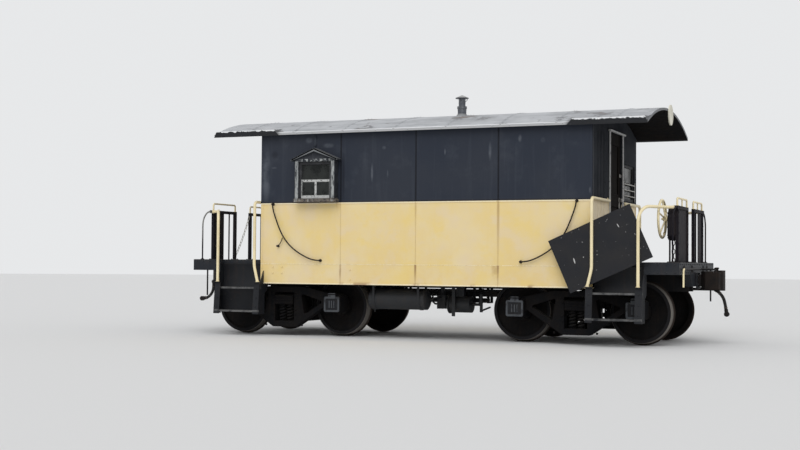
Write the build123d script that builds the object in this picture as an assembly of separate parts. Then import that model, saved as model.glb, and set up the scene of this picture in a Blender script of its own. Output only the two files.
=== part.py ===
from build123d import *
import math
import os

# Short four-axle railway caboose with open end platforms, in millimetres.
# X runs along the car, end A at -X and end B at +X. Y = 0 is the middle of the track and
# the near side is -Y. Z = 0 is the lowest point of the wheel flanges.

# Track and wheels
FLANGE_HEIGHT = 25
TREAD_RADIUS = 419
RIM_WIDTH = 146
RIM_THICKNESS = 54
FLANGE_THICKNESS = 32
BACK_TO_BACK = 1353
HUB_RADIUS = 140
PLATE_THICKNESS = 26
PLATE_STEPS = 6
AXLE_RADIUS = 78
WHEEL_SEAT_RADIUS = 88
JOURNAL_RADIUS = 70
JOURNAL_CLEARANCE = 0.3
RAIL_TOP = FLANGE_HEIGHT
AXLE_HEIGHT = RAIL_TOP + TREAD_RADIUS

# Trucks
TRUCK_SPACING = 4480
WHEELBASE = 1676
FRAME_CENTRE_Y = 978
FRAME_THICKNESS = 150
FRAME_TOP = RAIL_TOP + 705
FRAME_BOTTOM = RAIL_TOP + 105
FRAME_CHORD = 85
FRAME_FOOT_HALF = 190
FRAME_DIAGONAL = 82
FRAME_CORNER = 18
WINDOW_TIP = (649, RAIL_TOP + 489)
WINDOW_HEAD = (278, RAIL_TOP + 606)
WINDOW_FOOT = (333, RAIL_TOP + 290)
WINDOW_CORNER = 24
FRAME_LIP = 20
FRAME_LIP_DEPTH = 14
BOX_WIDTH = 256
BOX_TOP = RAIL_TOP + 578
BOX_BOTTOM = RAIL_TOP + 335
BOX_OUTER_Y = 1135
BOX_CORNER = 26
BOX_INNER_Y = 868
LID_THICKNESS = 30
LID_WIDTH = 248
LID_HEIGHT = 222
LID_RIM = 27
LID_RECESS = 8
LID_LUG_WIDTH = 116
LID_LUG_HEIGHT = 52
LID_RIBS = 3
LID_RIB_WIDTH = 16
LID_RIB_PITCH = 38
LID_RIB_LENGTH = 104
BOLSTER_WIDTH = 300
BOLSTER_RIBS = 3
BOLSTER_RIB = 9
SPRING_RADIUS = 56
SPRING_PITCH = 124
SPRING_RINGS = 6
SPRING_TOP = RAIL_TOP + 440
CENTRE_PLATE_RADIUS = 165
CENTRE_PLATE_TOP = RAIL_TOP + 680
SHOE_CLEARANCE = 10
SHOE_WIDTH = 85
SHOE_THICKNESS = 45

# Underframe
CENTRE_SILL_WIDTH = 330
CENTRE_SILL_BOTTOM = RAIL_TOP + 700
SILL_WEB = 14
FLOOR_BOTTOM = RAIL_TOP + 1040
BOLSTER_BEAM_WIDTH = 300
BOLSTER_BEAM_BOTTOM = RAIL_TOP + 775
JACK_PAD_INSET = 138
JACK_PAD_WIDTH = 100
JACK_PAD_LENGTH = 180
JACK_PAD_BOTTOM = RAIL_TOP + 765
CROSS_BEAM_X = 760
CROSS_BEAM_WIDTH = 120
CROSS_BEAM_DEPTH = 150

# Body
BODY_LENGTH = 5054
BODY_WIDTH = 2556
SIDE_BOTTOM = RAIL_TOP + 748
SIDE_SEAM = RAIL_TOP + 1040
BELT_HEIGHT = RAIL_TOP + 1941
WALL_THICKNESS = 60
SIDE_SILL_FLANGE = 80
DECK_TOP = RAIL_TOP + 1100
ROOF_LENGTH = 6586
EAVE_OVERHANG = 92
ROOF_WIDTH = BODY_WIDTH + 2 * EAVE_OVERHANG
EAVE_BOTTOM = BELT_HEIGHT + 1004
ROOF_RISE = 285
ROOF_THICKNESS = 34
GUTTER_LENGTH = 1103
GUTTER_THICKNESS = 10
GUTTER_HEIGHT = 90
GUTTER_DROP = 8
GUTTER_SLANT = 80
SEAT_GAP = 0.3

# Doors and windows
DOOR_WIDTH = 720
DOOR_TOP = EAVE_BOTTOM - 5
DOOR_THICKNESS = 44
DOOR_GAP = 6
DOOR_PROUD = 4
HINGE_RADIUS = 10
HINGE_PIN = 5
HINGE_KNUCKLE = 40
HINGE_HEIGHTS = (RAIL_TOP + 1320, RAIL_TOP + 2020, RAIL_TOP + 2720)
DOOR_TRIM_WIDTH = 48
DOOR_TRIM_THICKNESS = 22
DRIP_OVERHANG = 45
END_RIB_WIDTH = 26
END_RIB_THICKNESS = 6
END_RIBS = (660, 822, 984)
KNOB_HEIGHT = RAIL_TOP + 2000
HASP_HEIGHT = RAIL_TOP + 2330
END_WINDOW_INNER_Y = DOOR_WIDTH / 2 + 120
END_WINDOW_OUTER_Y = BODY_WIDTH / 2 - 138
END_WINDOW_BOTTOM = BELT_HEIGHT + 59
END_WINDOW_TOP = BELT_HEIGHT + 599
SASH_WIDTH = 40
GLASS_THICKNESS = 6
GUARD_BAR_RADIUS = 9

# Projecting side window
BAY_CENTRE_X = -1580
BAY_WIDTH = 650
BAY_PROJECTION = 120
BAY_BOTTOM = BELT_HEIGHT + 9
BAY_SILL = BELT_HEIGHT + 59
BAY_OPENING_TOP = BELT_HEIGHT + 595
BAY_EAVE = BELT_HEIGHT + 629
BAY_PEAK = BELT_HEIGHT + 789
BAY_EAVE_OVERHANG = 50
BAY_FRAME = 58
BAY_BOARD = 22
BAY_RAIL_HEIGHT = BELT_HEIGHT + 317

# Platforms and steps
PLATFORM_END = 3690
PLATFORM_THICKNESS = DECK_TOP - FLOOR_BOTTOM
STEP_INNER_X = BODY_LENGTH / 2 - 57
STEP_OUTER_X = PLATFORM_END - 470
STEP_FRONT_Y = BODY_WIDTH / 2 + 172
STEP_LEAN = 40
STEP_WELL_Y = BODY_WIDTH / 2 - 128
STEP_LOWER = RAIL_TOP + 352
STEP_UPPER = RAIL_TOP + 695
UPPER_TREAD_FRONT_Y = BODY_WIDTH / 2 + 108
TREAD_THICKNESS = 28
TREAD_PLATE = 6
LID_CLEARANCE = 85
LOWER_TREAD_INNER_Y = BOX_OUTER_Y + LID_THICKNESS + LID_CLEARANCE
RISER_THICKNESS = 5
RISER_BULGE = 34
LOWER_RISER_Y = LOWER_TREAD_INNER_Y + 28
STRINGER_THICKNESS = 12
STRINGER_BOTTOM = RAIL_TOP + 297
STRINGER_TOP = RAIL_TOP + 772
STRINGER_SHELF_Y = BODY_WIDTH / 2 + 96
FLANGE_WIDTH = 95
PLATFORM_BEAM_BOTTOM = RAIL_TOP + 940
PLATFORM_BEAM_WIDTH = 70
END_SILL_THICKNESS = 90
END_SILL_BOTTOM = RAIL_TOP + 775
END_SILL_DEEP_HALF = 390
END_SILL_SLOPE = 150

# Railings and handrails
PIPE_RADIUS = 21
RAILING_INSET = 105
RAILING_X = PLATFORM_END - RAILING_INSET
RAILING_TOP = RAIL_TOP + 1840
RAILING_INNER_Y = 220
RAILING_CORNER_Y = BODY_WIDTH / 2 - 78
RAILING_OUTER_Y = RAILING_CORNER_Y - 285
RAILING_BAR = 44
CORNER_ROD_RADIUS = 11
CORNER_BEND = 225
GRIP_HEIGHT = 125
GRIP_RADIUS = 13
GRIP_LEG_RADIUS = 10
HANDRAIL_Y = BODY_WIDTH / 2 + 142
HANDRAIL_OUTER_X = STEP_OUTER_X - 42
HANDRAIL_INNER_X = BODY_LENGTH / 2 + 29
HANDRAIL_BEND = 215
HANDRAIL_LANDING_Y = RAILING_OUTER_Y + 35
HANDRAIL_SOCKET = 12
HANDRAIL_SOCKET_WALL = 2
HANDRAIL_FOOT_X = STEP_INNER_X + PIPE_RADIUS + 8
HANDRAIL_KINK = RAIL_TOP + 1010
HANDRAIL_KINK_BEND = 420
GRAB_ROD_RADIUS = 10
GRAB_ROD_STANDOFF = 40
GRAB_PAD_RADIUS = 22
GRAB_ROD_POINTS = (
    (2317, RAIL_TOP + 1925),
    (2262, RAIL_TOP + 1725),
    (2145, RAIL_TOP + 1470),
    (1930, RAIL_TOP + 1245),
    (1700, RAIL_TOP + 1125),
    (1530, RAIL_TOP + 1096),
)

# Loose board wedged behind the near handrails of end B
BOARD_LENGTH = 1210
BOARD_HEIGHT = 765
BOARD_THICKNESS = 19
BOARD_TILT = 24
BOARD_SHIFT = 377
BOARD_CLEARANCE = 3

# Brake gear at end B
BRAKE_WHEEL_X = RAILING_X - 180
BRAKE_WHEEL_Y = -RAILING_OUTER_Y + 135
BRAKE_WHEEL_Z = RAILING_TOP - 150
BRAKE_WHEEL_RADIUS = 270
BRAKE_RIM_RADIUS = 17
BRAKE_SPOKES = 5
BRAKE_DISH = 45
BRAKE_SHAFT_RADIUS = 16
SHAFT_IN_HOUSING = 60
BRAKE_HOUSING_WIDTH = 300
BRAKE_HOUSING_DEPTH = 105
BRAKE_HOUSING_CORNER = 36
BRAKE_HOUSING_BEVEL = 12
BRAKE_HOUSING_BOTTOM = RAILING_TOP - 443
BRAKE_HOUSING_TOP = RAILING_TOP - 5
CHAIN_WIRE = 7
CHAIN_LINK_WIDTH = 38

# Couplers and air gear
COUPLER_HEIGHT = RAIL_TOP + 860
COUPLER_REACH = 370
COUPLER_FACE_X = PLATFORM_END + COUPLER_REACH
COUPLER_SHANK_WIDTH = 130
COUPLER_SHANK_HEIGHT = 160
COUPLER_HEAD_HEIGHT = 250
KNUCKLE_HEIGHT = 280
KNUCKLE_PIN_RADIUS = 22
LEVER_RADIUS = 12
LEVER_BRACKETS = (-980, -420, 420, 720)
LEVER_STANDOFF = 38
LEVER_HEIGHT = RAIL_TOP + 1015
LEVER_NEAR = (BODY_WIDTH / 2 - 78, RAIL_TOP + 778)
LEVER_FAR = (814, RAIL_TOP + 547)
HOSE_DIAMETER = 44
HOSE_Y = 300
GLADHAND_RADIUS = 36
GLADHAND_WIDTH = 46
COCK_REACH = 240
COCK_HEIGHT = RAIL_TOP + 694
TANK_CENTRE = (-410, -BODY_WIDTH / 2 + 328, RAIL_TOP + 545)
TANK_LENGTH = 960
TANK_RADIUS = 147
TANK_DOME = 50
TANK_STRAPS = ((-CROSS_BEAM_X, FLOOR_BOTTOM - CROSS_BEAM_DEPTH), (-60, FLOOR_BOTTOM))
CYLINDER_CENTRE = (420, -620, RAIL_TOP + 480)
CYLINDER_RADIUS = 120
CYLINDER_LENGTH = 330
LEVER_X = 715

# Roof fittings
JACK_X = 180
JACK_RADIUS = 65
JACK_NECK_RADIUS = 51
JACK_COLLAR_RADIUS = 71
JACK_HEIGHT = 331
JACK_COLLAR = (126, 161)
JACK_CAP_RADIUS = 98
JACK_CAP_HEIGHT = 48
JACK_FLASHING_RADIUS = 120
DISC_RADIUS = 146
DISC_DROP = 79
DISC_Y = 60

BODY_END = BODY_LENGTH / 2
BODY_SIDE = BODY_WIDTH / 2
JACK_PAD_Y = BODY_SIDE - JACK_PAD_INSET
INNER_END = BODY_END - WALL_THICKNESS
INNER_SIDE = BODY_SIDE - WALL_THICKNESS
TRUCK_X = TRUCK_SPACING / 2
DOOR_FACE = INNER_END - DOOR_PROUD
HINGE_X = DOOR_FACE - HINGE_RADIUS - SEAT_GAP
HINGE_Y = -DOOR_WIDTH / 2 + DOOR_GAP + 14
WHEEL_BACK_Y = BACK_TO_BACK / 2
WHEEL_FACE_Y = WHEEL_BACK_Y + RIM_WIDTH
ENDS = {"a": -1, "b": 1}
SIDES = {"near": -1, "far": 1}

os.makedirs("parts", exist_ok=True)


def block(x, y, z):
    """A box from its (low, high) limits along each axis, in any order."""
    lows = [min(pair) for pair in (x, y, z)]
    sizes = [abs(pair[1] - pair[0]) for pair in (x, y, z)]
    middle = [low + size / 2 for low, size in zip(lows, sizes)]
    return Pos(*middle) * Box(*sizes)


def rod(start, end, radius):
    """A round bar between two points."""
    axis = Vector(*end) - Vector(*start)
    plane = Plane(origin=start, z_dir=axis)
    return extrude(plane * Circle(radius), amount=axis.length)


def pipe(points, bends, radius):
    """A round bar along straight runs joined by arcs of the given radii."""
    path = FilletPolyline(*points, radius=bends)
    section = Plane(origin=path @ 0, z_dir=path % 0) * Circle(radius)
    return sweep(section, path=path)


def plate(outline, plane, thickness):
    """A flat plate of a closed outline, centred on the plane."""
    face = plane * make_face(Polyline(*outline, close=True))
    return extrude(face, amount=thickness / 2, both=True)


def turned(profile):
    """A solid turned about the Y axis from (radius, y) points."""
    return revolve(make_face(Polyline(*profile, close=True)), axis=Axis.Y)


def fused(solids):
    """One body from solids that meet or overlap."""
    whole = solids[0]
    for solid in solids[1:]:
        whole += solid
    return whole


def to_end(shape, end):
    """Takes a shape made for end B to the given end, by a half turn of the car."""
    return shape if ENDS[end] > 0 else Rot(0, 0, 180) * shape


def to_side(shape, side):
    """Takes a shape made for the near side to the given side, as its mirror image."""
    return shape if SIDES[side] < 0 else mirror(shape, about=Plane.XZ)


def four_corners(shape):
    """The near corner of end B, repeated at all four corners."""
    sides = [shape, mirror(shape, about=Plane.XZ)]
    return {end: [mirror(s, about=Plane.YZ) if ENDS[end] < 0 else s for s in sides] for end in ENDS}


def save(name, *solids):
    """Writes one node, of one solid or of several that don't touch."""
    shape = solids[0] if len(solids) == 1 else Compound(children=list(solids))
    export_step(shape, f"parts/{name}.step")


# Roof arc: its outer radius follows from the width and the rise
ROOF_RADIUS = ((ROOF_WIDTH / 2) ** 2 + ROOF_RISE**2) / (2 * ROOF_RISE)
ROOF_CROWN = EAVE_BOTTOM + ROOF_THICKNESS + ROOF_RISE
ROOF_AXIS_Z = ROOF_CROWN - ROOF_RADIUS
ROOF_UNDER_RADIUS = ROOF_RADIUS - ROOF_THICKNESS
JACK_TOP = ROOF_CROWN + JACK_HEIGHT
DISC_Z = ROOF_CROWN - DISC_DROP


def roof_bar(length, radius):
    """The full round bar whose top is the roof's arc."""
    return Pos(0, 0, ROOF_AXIS_Z) * Rot(0, 90, 0) * Cylinder(radius, length)


def roof():
    """Arched roof with a square eave edge, and a drip strip along the eave over each platform."""
    outer = roof_bar(ROOF_LENGTH, ROOF_RADIUS)
    inner = roof_bar(ROOF_LENGTH + 2, ROOF_UNDER_RADIUS)
    arch = outer - inner
    half_length = ROOF_LENGTH / 2
    half_width = ROOF_WIDTH / 2
    keep = block((-half_length, half_length), (-half_width, half_width), (EAVE_BOTTOM, ROOF_CROWN + 10))
    whole = arch & keep
    low = EAVE_BOTTOM - GUTTER_DROP
    high = low + GUTTER_HEIGHT
    start = half_length - GUTTER_LENGTH
    for way in (-1, 1):
        strip = [
            (way * start, low),
            (way * half_length, low),
            (way * (half_length - GUTTER_SLANT / 2), high),
            (way * (start + GUTTER_SLANT), high),
        ]
        for side in (-1, 1):
            strip_y = side * (half_width + GUTTER_THICKNESS / 2)
            strip_plane = Plane(origin=(0, strip_y, 0), x_dir=(1, 0, 0), z_dir=(0, -1, 0))
            whole += plate(strip, strip_plane, GUTTER_THICKNESS)
    return whole


def under_roof(shape):
    """Trims a wall to the underside of the roof."""
    return shape & roof_bar(ROOF_LENGTH, ROOF_UNDER_RADIUS - SEAT_GAP)


def side_walls(side):
    """Lower and upper side panels, the upper one with its window opening cut."""
    y = (-INNER_SIDE, -BODY_SIDE)
    lower = block((-BODY_END, BODY_END), y, (SIDE_SEAM, BELT_HEIGHT))
    upper = under_roof(block((-BODY_END, BODY_END), y, (BELT_HEIGHT, ROOF_CROWN)))
    half = BAY_WIDTH / 2 - BAY_FRAME
    opening_x = (BAY_CENTRE_X - half, BAY_CENTRE_X + half)
    upper -= block(opening_x, (-INNER_SIDE + 1, -BODY_SIDE - 1), (BAY_SILL, BAY_OPENING_TOP))
    return to_side(lower, side), to_side(upper, side)


def end_wall():
    """End wall of end B, with its door opening, its one window and the door's raised trim."""
    wall = under_roof(block((INNER_END, BODY_END), (-INNER_SIDE, INNER_SIDE), (FLOOR_BOTTOM, ROOF_CROWN)))
    through = (INNER_END - 1, BODY_END + 1)
    half_door = DOOR_WIDTH / 2
    wall -= block(through, (-half_door, half_door), (DECK_TOP, DOOR_TOP))
    window_y = (END_WINDOW_INNER_Y, END_WINDOW_OUTER_Y)
    wall -= block(through, window_y, (END_WINDOW_BOTTOM, END_WINDOW_TOP))
    trim_x = (BODY_END, BODY_END + DOOR_TRIM_THICKNESS)
    for side in (-1, 1):
        trim_y = (side * half_door, side * (half_door + DOOR_TRIM_WIDTH))
        wall += block(trim_x, trim_y, (DECK_TOP + SEAT_GAP, DOOR_TOP))
    drip = half_door + DOOR_TRIM_WIDTH + DRIP_OVERHANG
    drip_x = (BODY_END, BODY_END + DOOR_TRIM_THICKNESS + DRIP_OVERHANG / 2)
    wall += block(drip_x, (-drip, drip), (DOOR_TOP, DOOR_TOP + DOOR_TRIM_WIDTH / 2))
    for rib in END_RIBS:
        rib_x = (BODY_END, BODY_END + END_RIB_THICKNESS)
        rib_y = (-rib - END_RIB_WIDTH / 2, -rib + END_RIB_WIDTH / 2)
        wall += block(rib_x, rib_y, (DECK_TOP + SEAT_GAP, DOOR_TOP - DOOR_TRIM_WIDTH))
    for z in HINGE_HEIGHTS:
        wall += Pos(HINGE_X, HINGE_Y, z) * Cylinder(HINGE_PIN, 3 * HINGE_KNUCKLE)
        for end in (-1, 1):
            middle = z + end * HINGE_KNUCKLE
            wall += Pos(HINGE_X, HINGE_Y, middle) * Cylinder(HINGE_RADIUS, HINGE_KNUCKLE - 2 * SEAT_GAP)
            height = (middle - HINGE_KNUCKLE / 2 + SEAT_GAP, middle + HINGE_KNUCKLE / 2 - SEAT_GAP)
            wall += block((HINGE_X - 4, INNER_END - 5), (-half_door - 45, HINGE_Y), height)
            wall += block((HINGE_X - 4, INNER_END), (-half_door - 45, -half_door), height)
    return wall


def door():
    """End B door leaf with its hinge knuckles, hasp and knob, closed, opening into the cabin."""
    x = (DOOR_FACE, DOOR_FACE + DOOR_THICKNESS)
    half = DOOR_WIDTH / 2 - DOOR_GAP
    z = (DECK_TOP + DOOR_GAP, DOOR_TOP - DOOR_GAP)
    leaf = block(x, (-half, half), z)
    panel_y = (-half + 110, half - 110)
    for low, high in ((0.08, 0.44), (0.52, 0.92)):
        panel_z = (z[0] + low * (z[1] - z[0]), z[0] + high * (z[1] - z[0]))
        leaf -= block((x[1] - 10, x[1] + 1), panel_y, panel_z)
    for knuckle_z in HINGE_HEIGHTS:
        height = (knuckle_z - HINGE_KNUCKLE / 2, knuckle_z + HINGE_KNUCKLE / 2)
        leaf += Pos(HINGE_X, HINGE_Y, knuckle_z) * Cylinder(HINGE_RADIUS, HINGE_KNUCKLE)
        leaf += block((HINGE_X, x[0]), (HINGE_Y, HINGE_Y + 40), height)
        leaf -= Pos(HINGE_X, HINGE_Y, knuckle_z) * Cylinder(HINGE_PIN + SEAT_GAP, HINGE_KNUCKLE)
    knob = Pos(x[1] + 20, half - 60, KNOB_HEIGHT) * Rot(0, 90, 0) * Cylinder(24, 50)
    hasp = block((x[1], x[1] + 12), (half - 105, half - 20), (HASP_HEIGHT, HASP_HEIGHT + 46))
    return leaf + knob + hasp


def bay_window(side):
    """Projecting window frame: sill, jambs, header and a small gabled hood, fixed to the side."""
    front = -BODY_SIDE - BAY_PROJECTION
    back = -BODY_SIDE
    left = BAY_CENTRE_X - BAY_WIDTH / 2
    right = BAY_CENTRE_X + BAY_WIDTH / 2
    shell = block((left, right), (front, back), (BAY_BOTTOM, BAY_EAVE))
    opening_x = (left + BAY_FRAME, right - BAY_FRAME)
    shell -= block(opening_x, (front - 1, back + 1), (BAY_SILL, BAY_OPENING_TOP))
    eave_left = left - BAY_EAVE_OVERHANG
    eave_right = right + BAY_EAVE_OVERHANG
    gable = [(left, BAY_EAVE), (right, BAY_EAVE), (BAY_CENTRE_X, BAY_PEAK - 2 * BAY_BOARD)]
    gable_plane = Plane(origin=(0, (front + back) / 2, 0), x_dir=(1, 0, 0), z_dir=(0, -1, 0))
    shell += plate(gable, gable_plane, BAY_PROJECTION)
    hood_front = front - 35
    hood = [
        (eave_left, BAY_EAVE - BAY_BOARD),
        (eave_left, BAY_EAVE),
        (BAY_CENTRE_X, BAY_PEAK),
        (eave_right, BAY_EAVE),
        (eave_right, BAY_EAVE - BAY_BOARD),
        (BAY_CENTRE_X, BAY_PEAK - 2 * BAY_BOARD),
    ]
    hood_plane = Plane(origin=(0, (hood_front + back) / 2, 0), x_dir=(1, 0, 0), z_dir=(0, -1, 0))
    shell += plate(hood, hood_plane, back - hood_front)
    sill = block((left - 12, right + 12), (front - 22, back), (BAY_BOTTOM, BAY_BOTTOM + 40))
    return to_side(shell + sill, side)


def sash(width, height, bars, mullion):
    """Flat sash standing in the XZ plane, its lower left corner at the origin."""
    frame = block((0, width), (-SASH_WIDTH / 2, SASH_WIDTH / 2), (0, height))
    pane = (SASH_WIDTH, width - SASH_WIDTH)
    frame -= block(pane, (-SASH_WIDTH, SASH_WIDTH), (SASH_WIDTH, height - SASH_WIDTH))
    for share in bars:
        middle = share * height
        frame += block((SASH_WIDTH, width - SASH_WIDTH), (-10, 10), (middle - 12, middle + 12))
    for share, low, high in mullion:
        middle = share * width
        frame += block((middle - 11, middle + 11), (-9, 9), (low * height, high * height))
    return frame


# Shared places of the window sashes
BAY_OPENING = BAY_WIDTH - 2 * BAY_FRAME
BAY_OPENING_HEIGHT = BAY_OPENING_TOP - BAY_SILL
END_WINDOW_WIDTH = END_WINDOW_OUTER_Y - END_WINDOW_INNER_Y
END_WINDOW_HEIGHT = END_WINDOW_TOP - END_WINDOW_BOTTOM
SASH_SET_BACK = 45


def bay_sash(side):
    """Sash of the projecting window: one wide upper pane over two lower ones."""
    rail = (BAY_RAIL_HEIGHT - BAY_SILL) / BAY_OPENING_HEIGHT
    frame = sash(BAY_OPENING, BAY_OPENING_HEIGHT, (rail,), ((0.5, 0, rail),))
    y = -BODY_SIDE - BAY_PROJECTION + SASH_SET_BACK
    return to_side(Pos(BAY_CENTRE_X - BAY_OPENING / 2, y, BAY_SILL) * frame, side)


def end_sash():
    """Sash of the end B window, beside the door on the far side."""
    frame = sash(END_WINDOW_WIDTH, END_WINDOW_HEIGHT, (0.5,), ())
    place = Pos(BODY_END - WALL_THICKNESS / 2, END_WINDOW_INNER_Y, END_WINDOW_BOTTOM)
    return place * Rot(0, 0, 90) * frame


def end_guard():
    """Three guard bars across the lower half of the end B window, on two flat uprights."""
    x = BODY_END + GUARD_BAR_RADIUS + SEAT_GAP
    bars = []
    for share in (0.15, 0.31, 0.47):
        z = END_WINDOW_BOTTOM + share * END_WINDOW_HEIGHT
        bars.append(rod((x, END_WINDOW_INNER_Y - 20, z), (x, END_WINDOW_OUTER_Y + 20, z), GUARD_BAR_RADIUS))
    for y in (END_WINDOW_INNER_Y - 25, END_WINDOW_OUTER_Y + 5):
        high = END_WINDOW_BOTTOM + 0.55 * END_WINDOW_HEIGHT
        bars.append(block((BODY_END, BODY_END + 12), (y, y + 20), (END_WINDOW_BOTTOM, high)))
    return fused(bars)


def glass_panes():
    """Panes set in the sashes with a hair of clearance all round."""
    panes = []
    edge = SASH_WIDTH + SEAT_GAP
    rail_z = BAY_RAIL_HEIGHT
    bay_y = -BODY_SIDE - BAY_PROJECTION + SASH_SET_BACK
    left = BAY_CENTRE_X - BAY_OPENING / 2 + edge
    right = BAY_CENTRE_X + BAY_OPENING / 2 - edge
    middle = BAY_CENTRE_X
    y = (bay_y - GLASS_THICKNESS / 2, bay_y + GLASS_THICKNESS / 2)
    rail = 12 + SEAT_GAP
    mullion = 11 + SEAT_GAP
    lower_z = (BAY_SILL + edge, rail_z - rail)
    for pane in (
        block((left, right), y, (rail_z + rail, BAY_OPENING_TOP - edge)),
        block((left, middle - mullion), y, lower_z),
        block((middle + mullion, right), y, lower_z),
    ):
        panes += [pane, mirror(pane, about=Plane.XZ)]
    x_middle = BODY_END - WALL_THICKNESS / 2
    x = (x_middle - GLASS_THICKNESS / 2, x_middle + GLASS_THICKNESS / 2)
    half_z = END_WINDOW_BOTTOM + END_WINDOW_HEIGHT / 2
    wide = (END_WINDOW_INNER_Y + edge, END_WINDOW_OUTER_Y - edge)
    for z in ((END_WINDOW_BOTTOM + edge, half_z - rail), (half_z + rail, END_WINDOW_TOP - edge)):
        panes += [to_end(block(x, wide, z), end) for end in ENDS]
    return panes


def side_sill(side):
    """Rolled channel along the bottom of the side, its flanges turned inwards."""
    x = (-BODY_END, BODY_END)
    z = (SIDE_BOTTOM, SIDE_SEAM)
    lip_y = -BODY_SIDE + SIDE_SILL_FLANGE
    outer = block(x, (-BODY_SIDE, lip_y), z)
    hollow = block(x, (-BODY_SIDE + SILL_WEB, lip_y + 1), (z[0] + SILL_WEB, z[1] - SILL_WEB))
    return to_side(outer - hollow, side)


def underframe():
    """Centre sill, body bolsters with their jacking pads, and cross beams, riveted into one frame."""
    half = CENTRE_SILL_WIDTH / 2
    sill_x = PLATFORM_END - END_SILL_THICKNESS
    frame = block((-sill_x, sill_x), (-half, half), (CENTRE_SILL_BOTTOM, FLOOR_BOTTOM))
    channel_y = (-half + SILL_WEB, half - SILL_WEB)
    frame -= block((-sill_x - 1, sill_x + 1), channel_y, (CENTRE_SILL_BOTTOM - 1, FLOOR_BOTTOM - SILL_WEB))
    reach = BODY_SIDE - SIDE_SILL_FLANGE
    for x in (-TRUCK_X, TRUCK_X):
        beam = [
            (-reach, FLOOR_BOTTOM),
            (reach, FLOOR_BOTTOM),
            (reach, FLOOR_BOTTOM - 120),
            (half, BOLSTER_BEAM_BOTTOM),
            (-half, BOLSTER_BEAM_BOTTOM),
            (-reach, FLOOR_BOTTOM - 120),
        ]
        plane = Plane(origin=(x, 0, 0), x_dir=(0, 1, 0), z_dir=(1, 0, 0))
        frame += plate(beam, plane, BOLSTER_BEAM_WIDTH)
        seat = (CENTRE_PLATE_TOP + SEAT_GAP, BOLSTER_BEAM_BOTTOM + 5)
        frame += Pos(x, 0, sum(seat) / 2) * Cylinder(CENTRE_PLATE_RADIUS, seat[1] - seat[0])
        for side in SIDES.values():
            pad_x = (x - JACK_PAD_LENGTH / 2, x + JACK_PAD_LENGTH / 2)
            pad_y = (side * JACK_PAD_Y - JACK_PAD_WIDTH / 2, side * JACK_PAD_Y + JACK_PAD_WIDTH / 2)
            frame += block(pad_x, pad_y, (JACK_PAD_BOTTOM, FLOOR_BOTTOM - 100))
    for x in (-CROSS_BEAM_X, CROSS_BEAM_X):
        width = (x - CROSS_BEAM_WIDTH / 2, x + CROSS_BEAM_WIDTH / 2)
        frame += block(width, (-reach, reach), (FLOOR_BOTTOM - CROSS_BEAM_DEPTH, FLOOR_BOTTOM))
    return frame


def floor():
    """Cabin floor boards, between the walls and on the underframe."""
    return block((-INNER_END, INNER_END), (-INNER_SIDE, INNER_SIDE), (FLOOR_BOTTOM, DECK_TOP))


def platform():
    """End B platform: deck between the step wells, side beams, end sill."""
    deck_z = (DECK_TOP - PLATFORM_THICKNESS, DECK_TOP)
    well = STEP_OUTER_X + STRINGER_THICKNESS
    deck = block((BODY_END, PLATFORM_END), (-STEP_WELL_Y, STEP_WELL_Y), deck_z)
    deck += block((well, PLATFORM_END), (-BODY_SIDE, BODY_SIDE), deck_z)
    half_sill = [
        (BODY_SIDE, deck_z[0]),
        (BODY_SIDE, PLATFORM_BEAM_BOTTOM),
        (END_SILL_DEEP_HALF + END_SILL_SLOPE, PLATFORM_BEAM_BOTTOM),
        (END_SILL_DEEP_HALF, END_SILL_BOTTOM),
    ]
    sill = half_sill + [(-y, z) for y, z in reversed(half_sill)]
    sill_middle = PLATFORM_END - END_SILL_THICKNESS / 2
    sill_plane = Plane(origin=(sill_middle, 0, 0), x_dir=(0, 1, 0), z_dir=(1, 0, 0))
    deck += plate(sill, sill_plane, END_SILL_THICKNESS)
    for side in SIDES.values():
        beam_y = (side * BODY_SIDE, side * (BODY_SIDE - PLATFORM_BEAM_WIDTH))
        deck += block((well, PLATFORM_END), beam_y, (PLATFORM_BEAM_BOTTOM, deck_z[0]))
    coupler_pocket = COUPLER_SHANK_WIDTH / 2 + 12
    half_height = COUPLER_SHANK_HEIGHT / 2 + 12
    deck -= block(
        (PLATFORM_END - END_SILL_THICKNESS - 1, PLATFORM_END + 1),
        (-coupler_pocket, coupler_pocket),
        (COUPLER_HEIGHT - COUPLER_SHANK_HEIGHT / 2, COUPLER_HEIGHT + half_height),
    )
    return deck


def curved_riser(x, foot, middle_y, head):
    """A thin sheet along X, bent to an arc through a middle depth between two (y, z) edges."""
    front = ThreePointArc(foot, (middle_y, (foot[1] + head[1]) / 2), head)
    back = Pos(RISER_THICKNESS, 0) * front
    face = make_face([front, back, Line(front @ 0, back @ 0), Line(front @ 1, back @ 1)])
    plane = Plane(origin=(x[0], 0, 0), x_dir=(0, 1, 0), z_dir=(1, 0, 0))
    return extrude(plane * face, amount=x[1] - x[0])


def tread(x, front, inner, top):
    """One tread: a thin plate with its front and back edges turned down."""
    lip_z = (top - TREAD_THICKNESS, top)
    step = block(x, (-front, -inner), (top - TREAD_PLATE, top))
    step += block(x, (-front, -front + TREAD_PLATE), lip_z)
    return step + block(x, (-inner - TREAD_PLATE, -inner), lip_z)


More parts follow.
